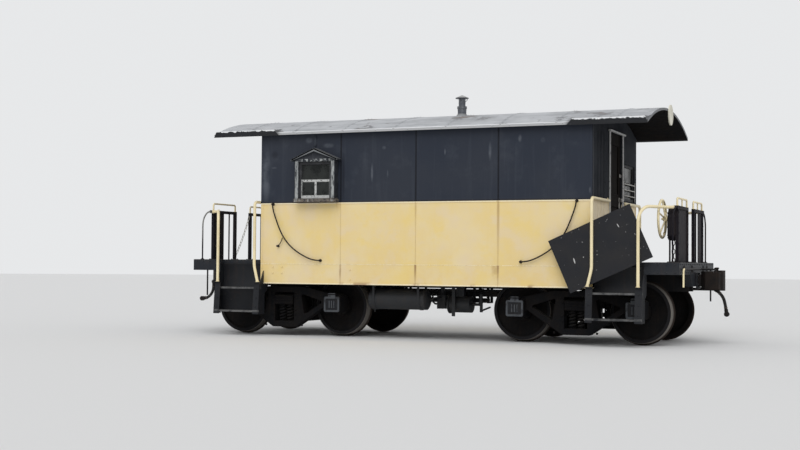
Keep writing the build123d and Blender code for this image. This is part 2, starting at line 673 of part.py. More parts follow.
def stringer(web_x, edge_x):
    """A step side: its web, and the leaning front flange turned from the web towards another X."""
    deck_bottom = DECK_TOP - PLATFORM_THICKNESS
    top_front = STEP_FRONT_Y - STEP_LEAN
    web = [
        (-STEP_WELL_Y, deck_bottom),
        (-BODY_SIDE, deck_bottom),
        (-BODY_SIDE, PLATFORM_BEAM_BOTTOM),
        (-STRINGER_SHELF_Y, STRINGER_TOP),
        (-top_front, STRINGER_TOP),
        (-STEP_FRONT_Y, STRINGER_BOTTOM),
        (-LOWER_TREAD_INNER_Y, STRINGER_BOTTOM),
        (-LOWER_TREAD_INNER_Y, STEP_UPPER - 3 * TREAD_THICKNESS),
        (-STEP_WELL_Y, STEP_UPPER - TREAD_THICKNESS),
    ]
    shelf_y = HANDRAIL_Y + PIPE_RADIUS
    flange = [
        (-STEP_FRONT_Y, STRINGER_BOTTOM),
        (-STEP_FRONT_Y + STRINGER_THICKNESS, STRINGER_BOTTOM),
        (-top_front + STRINGER_THICKNESS, STRINGER_TOP),
        (-shelf_y, STRINGER_TOP),
        (-shelf_y, STRINGER_TOP - STRINGER_THICKNESS),
        (-top_front - 1, STRINGER_TOP - STRINGER_THICKNESS),
    ]
    web_end = web_x + math.copysign(STRINGER_THICKNESS, edge_x - web_x)
    solids = []
    for shape, end in ((web, web_end), (flange, edge_x)):
        plane = Plane(origin=((web_x + end) / 2, 0, 0), x_dir=(0, 1, 0), z_dir=(1, 0, 0))
        solids.append(plate(shape, plane, abs(end - web_x)))
    return fused(solids)


def steps(lower_riser):
    """Near steps of end B: flanged stringers, two treads, and bowed risers behind them."""
    deck_bottom = DECK_TOP - PLATFORM_THICKNESS
    outer_x = STEP_OUTER_X + STRINGER_THICKNESS
    solids = [stringer(STEP_INNER_X, STEP_INNER_X + FLANGE_WIDTH), stringer(outer_x, outer_x - FLANGE_WIDTH)]
    x = (STEP_INNER_X + STRINGER_THICKNESS / 2, STEP_OUTER_X + STRINGER_THICKNESS / 2)
    solids.append(tread(x, STEP_FRONT_Y - STRINGER_THICKNESS, LOWER_TREAD_INNER_Y, STEP_LOWER))
    solids.append(tread(x, UPPER_TREAD_FRONT_Y, STEP_WELL_Y, STEP_UPPER))
    deepest = -STEP_WELL_Y - RISER_THICKNESS
    edge = deepest - RISER_BULGE
    solids.append(curved_riser(x, (edge, STEP_UPPER - TREAD_PLATE), deepest, (edge, deck_bottom)))
    solids.append(block(x, (edge, -STEP_WELL_Y), (deck_bottom - TREAD_PLATE, deck_bottom)))
    if lower_riser:
        foot = (-LOWER_TREAD_INNER_Y - RISER_THICKNESS, STEP_LOWER - TREAD_PLATE)
        head = (-UPPER_TREAD_FRONT_Y, STEP_UPPER - TREAD_THICKNESS / 2)
        solids.append(curved_riser(x, foot, -LOWER_RISER_Y, head))
    body = block((0, BODY_END + SEAT_GAP), (-BODY_SIDE - SEAT_GAP, 0), (SIDE_BOTTOM - SEAT_GAP, BELT_HEIGHT))
    return fused(solids) - body


def handrails():
    """Near handrails of end B: the tall corner rail and the body rail, each on a foot socket."""
    top = RAILING_TOP
    pipe_foot = STRINGER_TOP + HANDRAIL_SOCKET / 2
    railing_face = RAILING_X - RAILING_BAR / 2
    outer = pipe(
        [
            (HANDRAIL_OUTER_X, -HANDRAIL_Y, pipe_foot),
            (HANDRAIL_OUTER_X, -HANDRAIL_Y, top),
            (railing_face - 100, -HANDRAIL_LANDING_Y, top),
            (railing_face, -HANDRAIL_LANDING_Y, top),
        ],
        (HANDRAIL_BEND, 90),
        PIPE_RADIUS,
    )
    belt = BELT_HEIGHT + 16
    start_y = -DOOR_WIDTH / 2 - DOOR_TRIM_WIDTH - 45
    inner = pipe(
        [
            (BODY_END, start_y, belt),
            (HANDRAIL_INNER_X, start_y, belt),
            (HANDRAIL_INNER_X, -HANDRAIL_Y, belt),
            (HANDRAIL_INNER_X, -HANDRAIL_Y, HANDRAIL_KINK),
            (HANDRAIL_FOOT_X, -HANDRAIL_Y, pipe_foot),
        ],
        (PIPE_RADIUS + 1, 60, HANDRAIL_KINK_BEND),
        PIPE_RADIUS,
    )
    socket = Cylinder(PIPE_RADIUS + HANDRAIL_SOCKET_WALL, HANDRAIL_SOCKET)
    socket_z = STRINGER_TOP + HANDRAIL_SOCKET / 2
    outer += Pos(HANDRAIL_OUTER_X, -HANDRAIL_Y, socket_z) * socket
    inner += Pos(HANDRAIL_FOOT_X, -HANDRAIL_Y, socket_z) * socket
    return [outer, inner]


def railing_section(sheeted):
    """One half of an end railing, on the near side of end B, with or without its sheet."""
    x = (RAILING_X - RAILING_BAR / 2, RAILING_X + RAILING_BAR / 2)
    bar_z = (RAILING_TOP - RAILING_BAR / 2, RAILING_TOP + RAILING_BAR / 2)
    bar_end = -HANDRAIL_LANDING_Y - PIPE_RADIUS
    solids = [block(x, (bar_end, -RAILING_INNER_Y), bar_z)]
    for y in (-RAILING_OUTER_Y, -RAILING_INNER_Y - RAILING_BAR):
        solids.append(block(x, (y, y + RAILING_BAR), (DECK_TOP, bar_z[1])))
    corner = [
        (RAILING_X, -RAILING_CORNER_Y, DECK_TOP),
        (RAILING_X, -RAILING_CORNER_Y, RAILING_TOP),
        (RAILING_X, bar_end + RAILING_BAR / 2, RAILING_TOP),
    ]
    solids.append(pipe(corner, (CORNER_BEND,), CORNER_ROD_RADIUS))
    sheet_inner = -RAILING_INNER_Y if sheeted else -RAILING_OUTER_Y + 330
    sheet_x = (RAILING_X - 4, RAILING_X + 4)
    solids.append(block(sheet_x, (-RAILING_OUTER_Y, sheet_inner), (DECK_TOP, bar_z[1])))
    if not sheeted:
        middle = -RAILING_INNER_Y - 200
        solids.append(rod((RAILING_X, middle, DECK_TOP), (RAILING_X, middle, bar_z[0] + 5), 11))
    return fused(solids)


def railing_grip(middle_leg):
    """Hand grip on top of the near railing of end B, on two legs or on three."""
    low = RAILING_TOP + RAILING_BAR / 2
    high = low + GRIP_HEIGHT - RAILING_BAR / 2
    outer = -RAILING_OUTER_Y + 20
    inner = -RAILING_INNER_Y - 20
    legs = ((outer, low), (outer, high), (inner, high), (inner, low))
    grip = pipe([(RAILING_X, y, z) for y, z in legs], (32, 32), GRIP_RADIUS)
    middle = (outer + inner) / 2
    if middle_leg:
        grip += rod((RAILING_X, middle, low), (RAILING_X, middle, high), GRIP_LEG_RADIUS)
    return grip


def brake_wheel():
    """Dished hand wheel: round rim, spokes and a hub on the end of its shaft."""
    hub_x = BRAKE_WHEEL_X
    reach = BRAKE_WHEEL_RADIUS - BRAKE_RIM_RADIUS
    rim_place = Pos(hub_x - BRAKE_DISH, BRAKE_WHEEL_Y, BRAKE_WHEEL_Z)
    wheel = rim_place * Rot(0, 90, 0) * Torus(reach, BRAKE_RIM_RADIUS)
    wheel += Pos(hub_x, BRAKE_WHEEL_Y, BRAKE_WHEEL_Z) * Rot(0, 90, 0) * Cylinder(34, 56)
    for n in range(BRAKE_SPOKES):
        turn = math.radians(90 + n * 360 / BRAKE_SPOKES)
        end = (
            hub_x - BRAKE_DISH,
            BRAKE_WHEEL_Y + reach * math.cos(turn),
            BRAKE_WHEEL_Z + reach * math.sin(turn),
        )
        start = (hub_x, BRAKE_WHEEL_Y + 10 * math.cos(turn), BRAKE_WHEEL_Z + 10 * math.sin(turn))
        wheel += rod(start, end, 11)
    shaft_end = RAILING_X - RAILING_BAR / 2 - BRAKE_HOUSING_DEPTH + SHAFT_IN_HOUSING
    shaft_from = (hub_x, BRAKE_WHEEL_Y, BRAKE_WHEEL_Z)
    shaft_to = (shaft_end, BRAKE_WHEEL_Y, BRAKE_WHEEL_Z)
    return wheel + rod(shaft_from, shaft_to, BRAKE_SHAFT_RADIUS)


def brake_stand():
    """Gear housing on the inner face of the near railing, with the shaft's bore and a foot post."""
    x = (RAILING_X - RAILING_BAR / 2 - BRAKE_HOUSING_DEPTH, RAILING_X - RAILING_BAR / 2)
    half = BRAKE_HOUSING_WIDTH / 2
    outline = [
        (BRAKE_WHEEL_Y - half, BRAKE_HOUSING_BOTTOM + 60),
        (BRAKE_WHEEL_Y - 0.6 * half, BRAKE_HOUSING_BOTTOM),
        (BRAKE_WHEEL_Y + 0.6 * half, BRAKE_HOUSING_BOTTOM),
        (BRAKE_WHEEL_Y + half, BRAKE_HOUSING_BOTTOM + 60),
        (BRAKE_WHEEL_Y + half, BRAKE_HOUSING_TOP - half * 0.8),
        (BRAKE_WHEEL_Y + 0.5 * half, BRAKE_HOUSING_TOP),
        (BRAKE_WHEEL_Y - 0.5 * half, BRAKE_HOUSING_TOP),
        (BRAKE_WHEEL_Y - half, BRAKE_HOUSING_TOP - half * 0.8),
    ]
    plane = Plane(origin=(sum(x) / 2, 0, 0), x_dir=(0, 1, 0), z_dir=(1, 0, 0))
    face = make_face(Polyline(*outline, close=True))
    face = fillet(face.vertices(), BRAKE_HOUSING_CORNER)
    housing = extrude(plane * face, amount=BRAKE_HOUSING_DEPTH / 2, both=True)
    housing = chamfer(housing.faces().sort_by(Axis.X)[0].edges(), BRAKE_HOUSING_BEVEL)
    bore_from = (x[0] - 1, BRAKE_WHEEL_Y, BRAKE_WHEEL_Z)
    bore_to = (x[0] + SHAFT_IN_HOUSING + SEAT_GAP, BRAKE_WHEEL_Y, BRAKE_WHEEL_Z)
    housing -= rod(bore_from, bore_to, BRAKE_SHAFT_RADIUS + SEAT_GAP)
    post_y = BRAKE_WHEEL_Y - 0.5 * half
    housing += rod((x[0] + 20, post_y, DECK_TOP), (x[0] + 20, post_y, BRAKE_HOUSING_BOTTOM + 30), 12)
    return housing


def chain(start, end, links):
    """A run of links of oval wire, each a quarter turn from the last and just touching it."""
    direction = (Vector(*end) - Vector(*start)).normalized()
    first = Vector(*start) + direction * 0.9 * CHAIN_WIRE
    line = Vector(*end) - direction * 0.9 * CHAIN_WIRE - first
    side = direction.cross(Vector(0, 1, 0)) if abs(direction.Y) < 0.9 else direction.cross(Vector(0, 0, 1))
    pitch = line.length / links
    solids = []
    for n in range(links):
        middle = first + direction * (pitch * (n + 0.5))
        normal = direction.cross(side) if n % 2 else side
        plane = Plane(origin=middle, x_dir=direction, z_dir=normal)
        half = (pitch + 1.8 * CHAIN_WIRE) / 2
        straight = half - CHAIN_LINK_WIDTH / 2
        slot = plane * SlotCenterToCenter(2 * straight, CHAIN_LINK_WIDTH)
        hole = plane * SlotCenterToCenter(2 * straight, CHAIN_LINK_WIDTH - 2 * CHAIN_WIRE)
        solids.append(extrude(slot - hole, amount=CHAIN_WIRE / 2, both=True))
    return fused(solids)


def wheel(side):
    """Cast wheel on the near side, its dished plate curved from hub to rim."""
    inner = WHEEL_BACK_Y
    outer = WHEEL_FACE_Y
    rim_in = TREAD_RADIUS - RIM_THICKNESS
    plate_y = inner + 0.62 * RIM_WIDTH
    hub_y = inner + 0.38 * RIM_WIDTH
    dish = []
    for n in range(PLATE_STEPS + 1):
        share = n / PLATE_STEPS
        rise = (1 - math.cos(math.pi * share)) / 2
        dish.append((HUB_RADIUS + share * (rim_in - HUB_RADIUS), hub_y + rise * (plate_y - hub_y)))
    back = [(r, y - PLATE_THICKNESS / 2) for r, y in dish]
    front = [(r, y + PLATE_THICKNESS / 2) for r, y in reversed(dish)]
    flange_top = TREAD_RADIUS + FLANGE_HEIGHT
    rim = [
        (rim_in, inner),
        (flange_top - 10, inner),
        (flange_top - 2, inner + 5),
        (flange_top, inner + 14),
        (flange_top - 5, inner + 22),
        (TREAD_RADIUS + 8, inner + FLANGE_THICKNESS - 3),
        (TREAD_RADIUS + 2, inner + FLANGE_THICKNESS + 4),
        (TREAD_RADIUS, inner + FLANGE_THICKNESS + 14),
        (TREAD_RADIUS - 4, outer - 8),
        (TREAD_RADIUS - 10, outer),
        (rim_in, outer),
    ]
    hub = [(HUB_RADIUS - 8, outer + 20), (WHEEL_SEAT_RADIUS, outer + 20)]
    shape = turned([(WHEEL_SEAT_RADIUS, inner), (HUB_RADIUS, inner)] + back + rim + front + hub)
    return shape if side > 0 else mirror(shape, about=Plane.XZ)


def axle():
    """Axle turned about the Y axis: journals, dust guards, wheel seats and a plain middle."""
    end = BOX_OUTER_Y - 30
    seat_out = WHEEL_FACE_Y + 20
    half = [
        (JOURNAL_RADIUS, end),
        (JOURNAL_RADIUS, BOX_INNER_Y - 12),
        (JOURNAL_RADIUS + 10, seat_out),
        (WHEEL_SEAT_RADIUS, seat_out),
        (WHEEL_SEAT_RADIUS, WHEEL_BACK_Y),
        (AXLE_RADIUS, WHEEL_BACK_Y - 40),
    ]
    profile = [(0, end)] + half + [(r, -y) for r, y in reversed(half)] + [(0, -end)]
    return turned(profile)


def side_frame():
    """Near side frame of a truck at the origin: a lipped casting with its journal boxes and bores."""
    span = WHEELBASE / 2
    box_half = BOX_WIDTH / 2
    pocket = BOLSTER_WIDTH / 2 + 12
    half = [
        (pocket + 160, FRAME_TOP),
        (span - box_half + 20, BOX_TOP + 40),
        (span + box_half - 60, BOX_TOP + 30),
        (span + box_half, BOX_TOP),
        (span + box_half, BOX_BOTTOM),
        (span - box_half, BOX_BOTTOM),
        (span - box_half, WINDOW_TIP[1] - FRAME_DIAGONAL / 2),
        (WINDOW_TIP[0], WINDOW_TIP[1] - FRAME_DIAGONAL),
        (FRAME_FOOT_HALF, FRAME_BOTTOM),
    ]
    outline = half + [(-x, z) for x, z in reversed(half)]
    face = make_face(Polyline(*outline, close=True))
    face = fillet(face.vertices(), FRAME_CORNER)
    pocket_z = (FRAME_BOTTOM + FRAME_CHORD, FRAME_TOP - FRAME_CHORD)
    face -= Pos(0, sum(pocket_z) / 2) * Rectangle(2 * pocket, pocket_z[1] - pocket_z[0])
    for side in (-1, 1):
        corners = [(side * x, z) for x, z in (WINDOW_TIP, WINDOW_HEAD, WINDOW_FOOT)]
        window = make_face(Polyline(*corners, close=True))
        face -= fillet(window.vertices(), WINDOW_CORNER)
    plane = Plane(origin=(0, -FRAME_CENTRE_Y, 0), x_dir=(1, 0, 0), z_dir=(0, -1, 0))
    frame = extrude(plane * face, amount=FRAME_THICKNESS / 2, both=True)
    sunk = Pos(0, -FRAME_THICKNESS / 2, 0) * plane * offset(face, -FRAME_LIP)
    frame -= extrude(sunk, amount=-FRAME_LIP_DEPTH)
    for side in (-1, 1):
        box_x = (side * span - box_half, side * span + box_half)
        box = block(box_x, (-BOX_OUTER_Y, -BOX_INNER_Y), (BOX_BOTTOM, BOX_TOP))
        frame += fillet(box.edges().filter_by(Axis.Y), BOX_CORNER)
        bore_start = (side * span, -BOX_INNER_Y + 1, AXLE_HEIGHT)
        bore_end = (side * span, -BOX_OUTER_Y + 30 - SEAT_GAP, AXLE_HEIGHT)
        frame -= rod(bore_start, bore_end, JOURNAL_RADIUS + JOURNAL_CLEARANCE)
    return frame


def journal_lids():
    """Near lids of a truck at the origin: a raised rim, a ribbed middle and a hinge lug on top."""
    lids = []
    for side in (-1, 1):
        x = side * WHEELBASE / 2
        z = (BOX_BOTTOM + BOX_TOP) / 2
        y = (-BOX_OUTER_Y - LID_THICKNESS, -BOX_OUTER_Y)
        half = LID_WIDTH / 2
        top = z + LID_HEIGHT / 2
        cover = block((x - half, x + half), y, (z - LID_HEIGHT / 2, top))
        cover = fillet(cover.edges().filter_by(Axis.Y), BOX_CORNER)
        inside = half - LID_RIM
        sunk_z = (z - LID_HEIGHT / 2 + LID_RIM, top - LID_RIM)
        sunk = block((x - inside, x + inside), (y[0] - 1, y[0] + LID_RECESS), sunk_z)
        cover -= fillet(sunk.edges().filter_by(Axis.Y), BOX_CORNER / 2)
        for n in range(LID_RIBS):
            rib_x = x + (n - (LID_RIBS - 1) / 2) * LID_RIB_PITCH
            rib = (rib_x - LID_RIB_WIDTH / 2, rib_x + LID_RIB_WIDTH / 2)
            cover += block(rib, (y[0], y[0] + LID_RECESS), (z - LID_RIB_LENGTH / 2, z + LID_RIB_LENGTH / 2))
        lug_half = LID_LUG_WIDTH / 2
        lug = block((x - lug_half, x + lug_half), y, (top - LID_RIM, top + LID_LUG_HEIGHT))
        cover += fillet(lug.edges().filter_by(Axis.Y), BOX_CORNER / 2)
        lids.append(cover)
    return lids


def bolster():
    """Truck bolster across both frames, with its centre plate and side bearings."""
    half = BOLSTER_WIDTH / 2
    top = CENTRE_PLATE_TOP - 18
    end_y = FRAME_CENTRE_Y + FRAME_THICKNESS / 2 + 20
    outline = [
        (-end_y, SPRING_TOP),
        (end_y, SPRING_TOP),
        (end_y, SPRING_TOP + 130),
        (500, top),
        (-500, top),
        (-end_y, SPRING_TOP + 130),
    ]
    plane = Plane(origin=(0, 0, 0), x_dir=(0, 1, 0), z_dir=(1, 0, 0))
    body = plate(outline, plane, 2 * half)
    for n in range(BOLSTER_RIBS):
        rib_z = SPRING_TOP + (n + 0.5) * 130 / BOLSTER_RIBS
        for side in (-1, 1):
            rib_y = (side * (end_y - 2), side * (end_y + BOLSTER_RIB))
            body += block((-half, half), rib_y, (rib_z - BOLSTER_RIB, rib_z + BOLSTER_RIB))
    bowl = (top - 2, CENTRE_PLATE_TOP)
    body += Pos(0, 0, sum(bowl) / 2) * Cylinder(CENTRE_PLATE_RADIUS, bowl[1] - bowl[0])
    return body


def springs():
    """Near spring group of a truck at the origin, each coil as a ribbed column."""
    low = FRAME_BOTTOM + FRAME_CHORD
    height = SPRING_TOP - low
    pitch = height / SPRING_RINGS
    wire = 0.62 * pitch
    profile = [(0, 0), (SPRING_RADIUS - wire, 0)]
    for n in range(SPRING_RINGS):
        base = n * pitch
        profile += [
            (SPRING_RADIUS, base + 0.2 * pitch),
            (SPRING_RADIUS, base + 0.8 * pitch),
            (SPRING_RADIUS - wire, base + pitch),
        ]
    profile.append((0, height))
    column = revolve(Plane.XZ * make_face(Polyline(*profile, close=True)), axis=Axis.Z)
    columns = []
    for x in (-SPRING_PITCH / 2, SPRING_PITCH / 2):
        columns.append(Pos(x, -FRAME_CENTRE_Y, low) * column)
    return columns


def brake_beam():
    """Brake beam inside one wheelset of a truck at the origin, its shoes and its hangers."""
    wheel_x = WHEELBASE / 2
    shoe_face = TREAD_RADIUS + SHOE_CLEARANCE
    shoe_y = WHEEL_BACK_Y + FLANGE_THICKNESS + 50
    solids = []
    beam_x = wheel_x - shoe_face - SHOE_THICKNESS - 20
    beam_z = (AXLE_HEIGHT - 70, AXLE_HEIGHT - 10)
    solids.append(block((beam_x - 35, beam_x + 35), (-shoe_y - 30, shoe_y + 30), beam_z))
    for side in (-1, 1):
        ring = Pos(wheel_x, side * shoe_y, AXLE_HEIGHT) * Rot(90, 0, 0) * (
            Cylinder(shoe_face + SHOE_THICKNESS, SHOE_WIDTH) - Cylinder(shoe_face, SHOE_WIDTH)
        )
        low_x = wheel_x - shoe_face - SHOE_THICKNESS - 5
        window_y = (side * shoe_y - 100, side * shoe_y + 100)
        window = block((low_x, wheel_x - 300), window_y, (AXLE_HEIGHT - 160, AXLE_HEIGHT + 110))
        solids.append(ring & window)
        hanger_y = side * (shoe_y + 30)
        hang_top = FRAME_TOP - FRAME_CHORD / 2
        solids.append(rod((beam_x, hanger_y, AXLE_HEIGHT - 40), (beam_x, hanger_y, hang_top), 12))
        frame_face = side * (FRAME_CENTRE_Y - FRAME_THICKNESS / 2)
        solids.append(rod((beam_x, hanger_y, hang_top), (beam_x, frame_face, hang_top), 12))
    return fused(solids)


def coupler():
    """Coupler of end B: shank through the end sill, rounded head, guard arm and closed knuckle."""
    shank_half = COUPLER_SHANK_WIDTH / 2
    x0 = PLATFORM_END - END_SILL_THICKNESS - 60
    back = PLATFORM_END + 60
    shank_z = (COUPLER_HEIGHT - COUPLER_SHANK_HEIGHT / 2, COUPLER_HEIGHT + COUPLER_SHANK_HEIGHT / 2)
    shank = block((x0, back + 30), (-shank_half, shank_half), shank_z)
    face = COUPLER_FACE_X
    head = [
        (back, -shank_half),
        (back + 70, -160),
        (face - 90, -200),
        (face - 5, -228),
        (face - 45, -150),
        (face - 100, -100),
        (face - 135, -40),
        (face - 150, 40),
        (face - 140, 150),
        (back + 70, 150),
        (back, shank_half),
    ]
    knuckle = [
        (face - 165, 160),
        (face - 60, 158),
        (face - 8, 118),
        (face, 40),
        (face - 12, -28),
        (face - 48, -44),
        (face - 70, -10),
        (face - 78, 60),
        (face - 120, 88),
        (face - 165, 70),
    ]
    plane = Plane(origin=(0, 0, COUPLER_HEIGHT))
    solids = [shank]
    for outline, height, corner in ((head, COUPLER_HEAD_HEIGHT, 20), (knuckle, KNUCKLE_HEIGHT, 14)):
        sketch = make_face(Polyline(*outline, close=True))
        sketch = fillet(sketch.vertices(), corner)
        solids.append(extrude(plane * sketch, amount=height / 2, both=True))
    pin = Cylinder(KNUCKLE_PIN_RADIUS, KNUCKLE_HEIGHT + 40)
    solids.append(Pos(face - 125, 122, COUPLER_HEIGHT) * pin)
    return fused(solids)


def uncoupling_lever():
    """Cut lever of end B: a bar along the end sill with a handle at each end and an arm to the coupler."""
    x = PLATFORM_END + LEVER_STANDOFF
    z = LEVER_HEIGHT
    near_y, near_low = LEVER_NEAR
    far_y, far_low = LEVER_FAR
    route = [(x, -near_y, near_low), (x, -near_y, z), (x, far_y, z), (x, far_y, far_low)]
    lever = pipe(route, (3 * LEVER_RADIUS, 3 * LEVER_RADIUS), LEVER_RADIUS)
    arm_x = COUPLER_FACE_X - 125
    arm = [(x, 0, z), (arm_x, 0, z), (arm_x, 0, COUPLER_HEIGHT + COUPLER_HEAD_HEIGHT / 2 + SEAT_GAP)]
    lever += pipe(arm, (12,), LEVER_RADIUS - 2)
    for y in LEVER_BRACKETS:
        lever += block((PLATFORM_END, x), (y - 18, y + 18), (z - 14, z + 14))
    return lever


# Air hose routes in the frame of end B, from the angle cock down to the gladhand.
# End A's hose bends outwards and up, end B's hangs.
COCK_X = PLATFORM_END + COCK_REACH
HOSE_ROUTES = {
    "a": (
        (COCK_X, HOSE_Y, COCK_HEIGHT),
        (COCK_X + 4, HOSE_Y + 2, COCK_HEIGHT - 80),
        (COCK_X + 38, HOSE_Y + 4, COCK_HEIGHT - 145),
        (COCK_X + 102, HOSE_Y, COCK_HEIGHT - 200),
        (COCK_X + 144, HOSE_Y - 4, COCK_HEIGHT - 206),
    ),
    "b": (
        (COCK_X, HOSE_Y, COCK_HEIGHT),
        (COCK_X + 56, HOSE_Y + 3, COCK_HEIGHT - 56),
        (COCK_X + 86, HOSE_Y + 5, COCK_HEIGHT - 150),
        (COCK_X + 100, HOSE_Y + 4, COCK_HEIGHT - 240),
    ),
}


def corner_radii(points):
    """The arc radius at each inner corner: 0.45 of the shorter run over the half-turn's tangent."""
    radii = []
    for before, at, after in zip(points, points[1:], points[2:]):
        run_in = Vector(*at) - Vector(*before)
        run_out = Vector(*after) - Vector(*at)
        turn = math.radians(run_in.get_angle(run_out))
        radii.append(0.45 * min(run_in.length, run_out.length) / math.tan(turn / 2))
    return radii


def air_hose(end):
    """Short hose of the given end, in the frame of end B."""
    points = HOSE_ROUTES[end]
    radii = corner_radii(points)
    hose = pipe(points, radii, HOSE_DIAMETER / 2)
    length = hose.volume / (math.pi * (HOSE_DIAMETER / 2) ** 2)
    print("hose", end, "length", round(length), "arc radii", [round(r) for r in radii])
    return hose


def gladhand(end):
    """Hose end in the frame of end B: a collar and a flat-faced hook casting in line with the hose."""
    tip = Vector(*HOSE_ROUTES[end][-1])
    along = (tip - Vector(*HOSE_ROUTES[end][-2])).normalized()
    casting = rod(tip, tip + along * 45, HOSE_DIAMETER / 2 + 5)
    palm_centre = tip + along * 68
    palm = Pos(*palm_centre) * Rot(90, 0, 0)
    casting += palm * Cylinder(GLADHAND_RADIUS, GLADHAND_WIDTH)
    return casting - palm * Pos(0, 0, -GLADHAND_WIDTH / 2) * Cylinder(GLADHAND_RADIUS / 2, 12)


def angle_cock(end):
    """Pipe end and cock in the frame of end B, from the end sill to the hose, with its handle."""
    start = Vector(*HOSE_ROUTES[end][0])
    along = (Vector(*HOSE_ROUTES[end][1]) - start).normalized()
    nipple_start = start - along * 55
    elbow = (PLATFORM_END - 140, HOSE_Y, nipple_start.Z)
    pipe_end = (nipple_start.X, HOSE_Y, nipple_start.Z)
    cock = rod(start, nipple_start, HOSE_DIAMETER / 2 + 3)
    cock += Pos(*nipple_start) * Sphere(36)
    cock += rod(elbow, pipe_end, 20)
    handle = Vector(*pipe_end) + Vector(0, 0, 30)
    cock += rod(handle, handle + Vector(-95, 30, 12), 8)
    strap_x = PLATFORM_END - END_SILL_THICKNESS / 2
    strap_z = (nipple_start.Z, END_SILL_BOTTOM)
    cock += block((strap_x - 20, strap_x + 20), (HOSE_Y - 30, HOSE_Y + 30), strap_z)
    return cock


def air_tank():
    """Long air reservoir under the near side, with domed ends and two hanging straps."""
    x, y, z = TANK_CENTRE
    half = TANK_LENGTH / 2
    head_radius = (TANK_RADIUS**2 + TANK_DOME**2) / (2 * TANK_DOME)
    half_angle = math.asin(TANK_RADIUS / head_radius) / 2
    bulge = head_radius * (1 - math.cos(half_angle))
    shoulder = (half - TANK_DOME, TANK_RADIUS)
    right = ThreePointArc(shoulder, (half - bulge, head_radius * math.sin(half_angle)), (half, 0))
    left = mirror(right, about=Plane.YZ)
    barrel = Line(left @ 0, right @ 0)
    face = make_face([right, left, barrel, Line((-half, 0), (half, 0))])
    tank = Pos(x, y, z) * revolve(face, axis=Axis.X)
    for strap_x, strap_top in TANK_STRAPS:
        band = Pos(strap_x, y, z) * Rot(0, 90, 0) * Cylinder(TANK_RADIUS + 6, 36)
        tank += band
        for edge in (-1, 1):
            strap_y = y + edge * (TANK_RADIUS + 3)
            tank += block((strap_x - 18, strap_x + 18), (strap_y - 3, strap_y + 3), (z, strap_top))
    return tank


def brake_cylinder():
    """Brake cylinder and valve on a bracket under the floor, with its push rod and pipes."""
    x, y, z = CYLINDER_CENTRE
    half = CYLINDER_LENGTH / 2
    gear = Pos(x, y, z) * Rot(0, 90, 0) * Cylinder(CYLINDER_RADIUS, CYLINDER_LENGTH)
    gear += Pos(x - half, y, z) * Rot(0, 90, 0) * Cylinder(CYLINDER_RADIUS + 16, 24)
    gear += block((x - 60, x + 60), (y - 50, y + 50), (z, FLOOR_BOTTOM))
    gear += rod((x + half, y, z), (LEVER_X, y, z), 20)
    lever_z = (z - 110, z + 150)
    gear += block((LEVER_X - 8, LEVER_X + 30), (y - 14, y + 14), lever_z)
    gear += rod((LEVER_X + 10, y, lever_z[0] + 20), (LEVER_X + 150, y, lever_z[0] + 76), 13)
    hanger_y = y - CYLINDER_RADIUS - 40
    gear += block((x - 85, x - 35), (hanger_y - 5, hanger_y + 5), (z - 170, FLOOR_BOTTOM))
    gear += block((x - 85, x - 35), (hanger_y - 5, y), (FLOOR_BOTTOM - 10, FLOOR_BOTTOM))
    gear += block((x - half - 190, x - half - 60), (y - 60, y + 70), (z - 70, z + 130))
    gear += block((x - half - 150, x - half - 100), (y - 20, y + 30), (z, FLOOR_BOTTOM))
    gear += rod((x - half - 70, y, z), (x - half, y, z), 20)
    return gear


def grab_rod(way):
    """Curved rod on the near side, from the belt by a corner down along the side, on two end pads."""
    y = -BODY_SIDE - GRAB_ROD_STANDOFF
    route = [(way * x, y, z) for x, z in GRAB_ROD_POINTS]
    curve = Spline(*route, tangents=((-way * 0.1, 0, -1), (-way, 0, -0.05)))
    grab = sweep(Plane(origin=curve @ 0, z_dir=curve % 0) * Circle(GRAB_ROD_RADIUS), path=curve)
    for x, _, z in (route[0], route[-1]):
        place = Pos(x, -BODY_SIDE - GRAB_ROD_STANDOFF / 2, z) * Rot(90, 0, 0)
        grab += place * Cylinder(GRAB_ROD_RADIUS + 2, GRAB_ROD_STANDOFF)
        grab += Pos(x, y, z) * Sphere(GRAB_ROD_RADIUS + 5)
        grab += Pos(x, -BODY_SIDE - 4, z) * Rot(90, 0, 0) * Cylinder(GRAB_PAD_RADIUS, 8)
    return grab


def smoke_jack():
    """Stove pipe with a flared foot, a collar, a narrower neck and a conical cap."""
    base = ROOF_CROWN
    low, high = [base + rise for rise in JACK_COLLAR]
    cap_foot = JACK_TOP - JACK_CAP_HEIGHT
    solids = []
    for radius, bottom, top in (
        (JACK_RADIUS, base - 20, low),
        (JACK_COLLAR_RADIUS, low, high),
        (JACK_NECK_RADIUS, high, cap_foot),
        (JACK_CAP_RADIUS, cap_foot, cap_foot + 8),
    ):
        solids.append(Pos(JACK_X, 0, (bottom + top) / 2) * Cylinder(radius, top - bottom))
    cone_height = JACK_CAP_HEIGHT - 8
    solids.append(Pos(JACK_X, 0, JACK_TOP - cone_height / 2) * Cone(JACK_CAP_RADIUS, 12, cone_height))
    foot = Cone(JACK_FLASHING_RADIUS, JACK_RADIUS, 70)
    solids.append(Pos(JACK_X, 0, base + 15) * foot)
    return fused(solids) - roof_bar(ROOF_LENGTH, ROOF_RADIUS + SEAT_GAP)


def end_disc():
    """Round cover standing on the roof's end at end B."""
    x = ROOF_LENGTH / 2
    disc = Pos(x + 8, DISC_Y, DISC_Z) * Rot(0, 90, 0) * Cylinder(DISC_RADIUS, 16)
    return disc


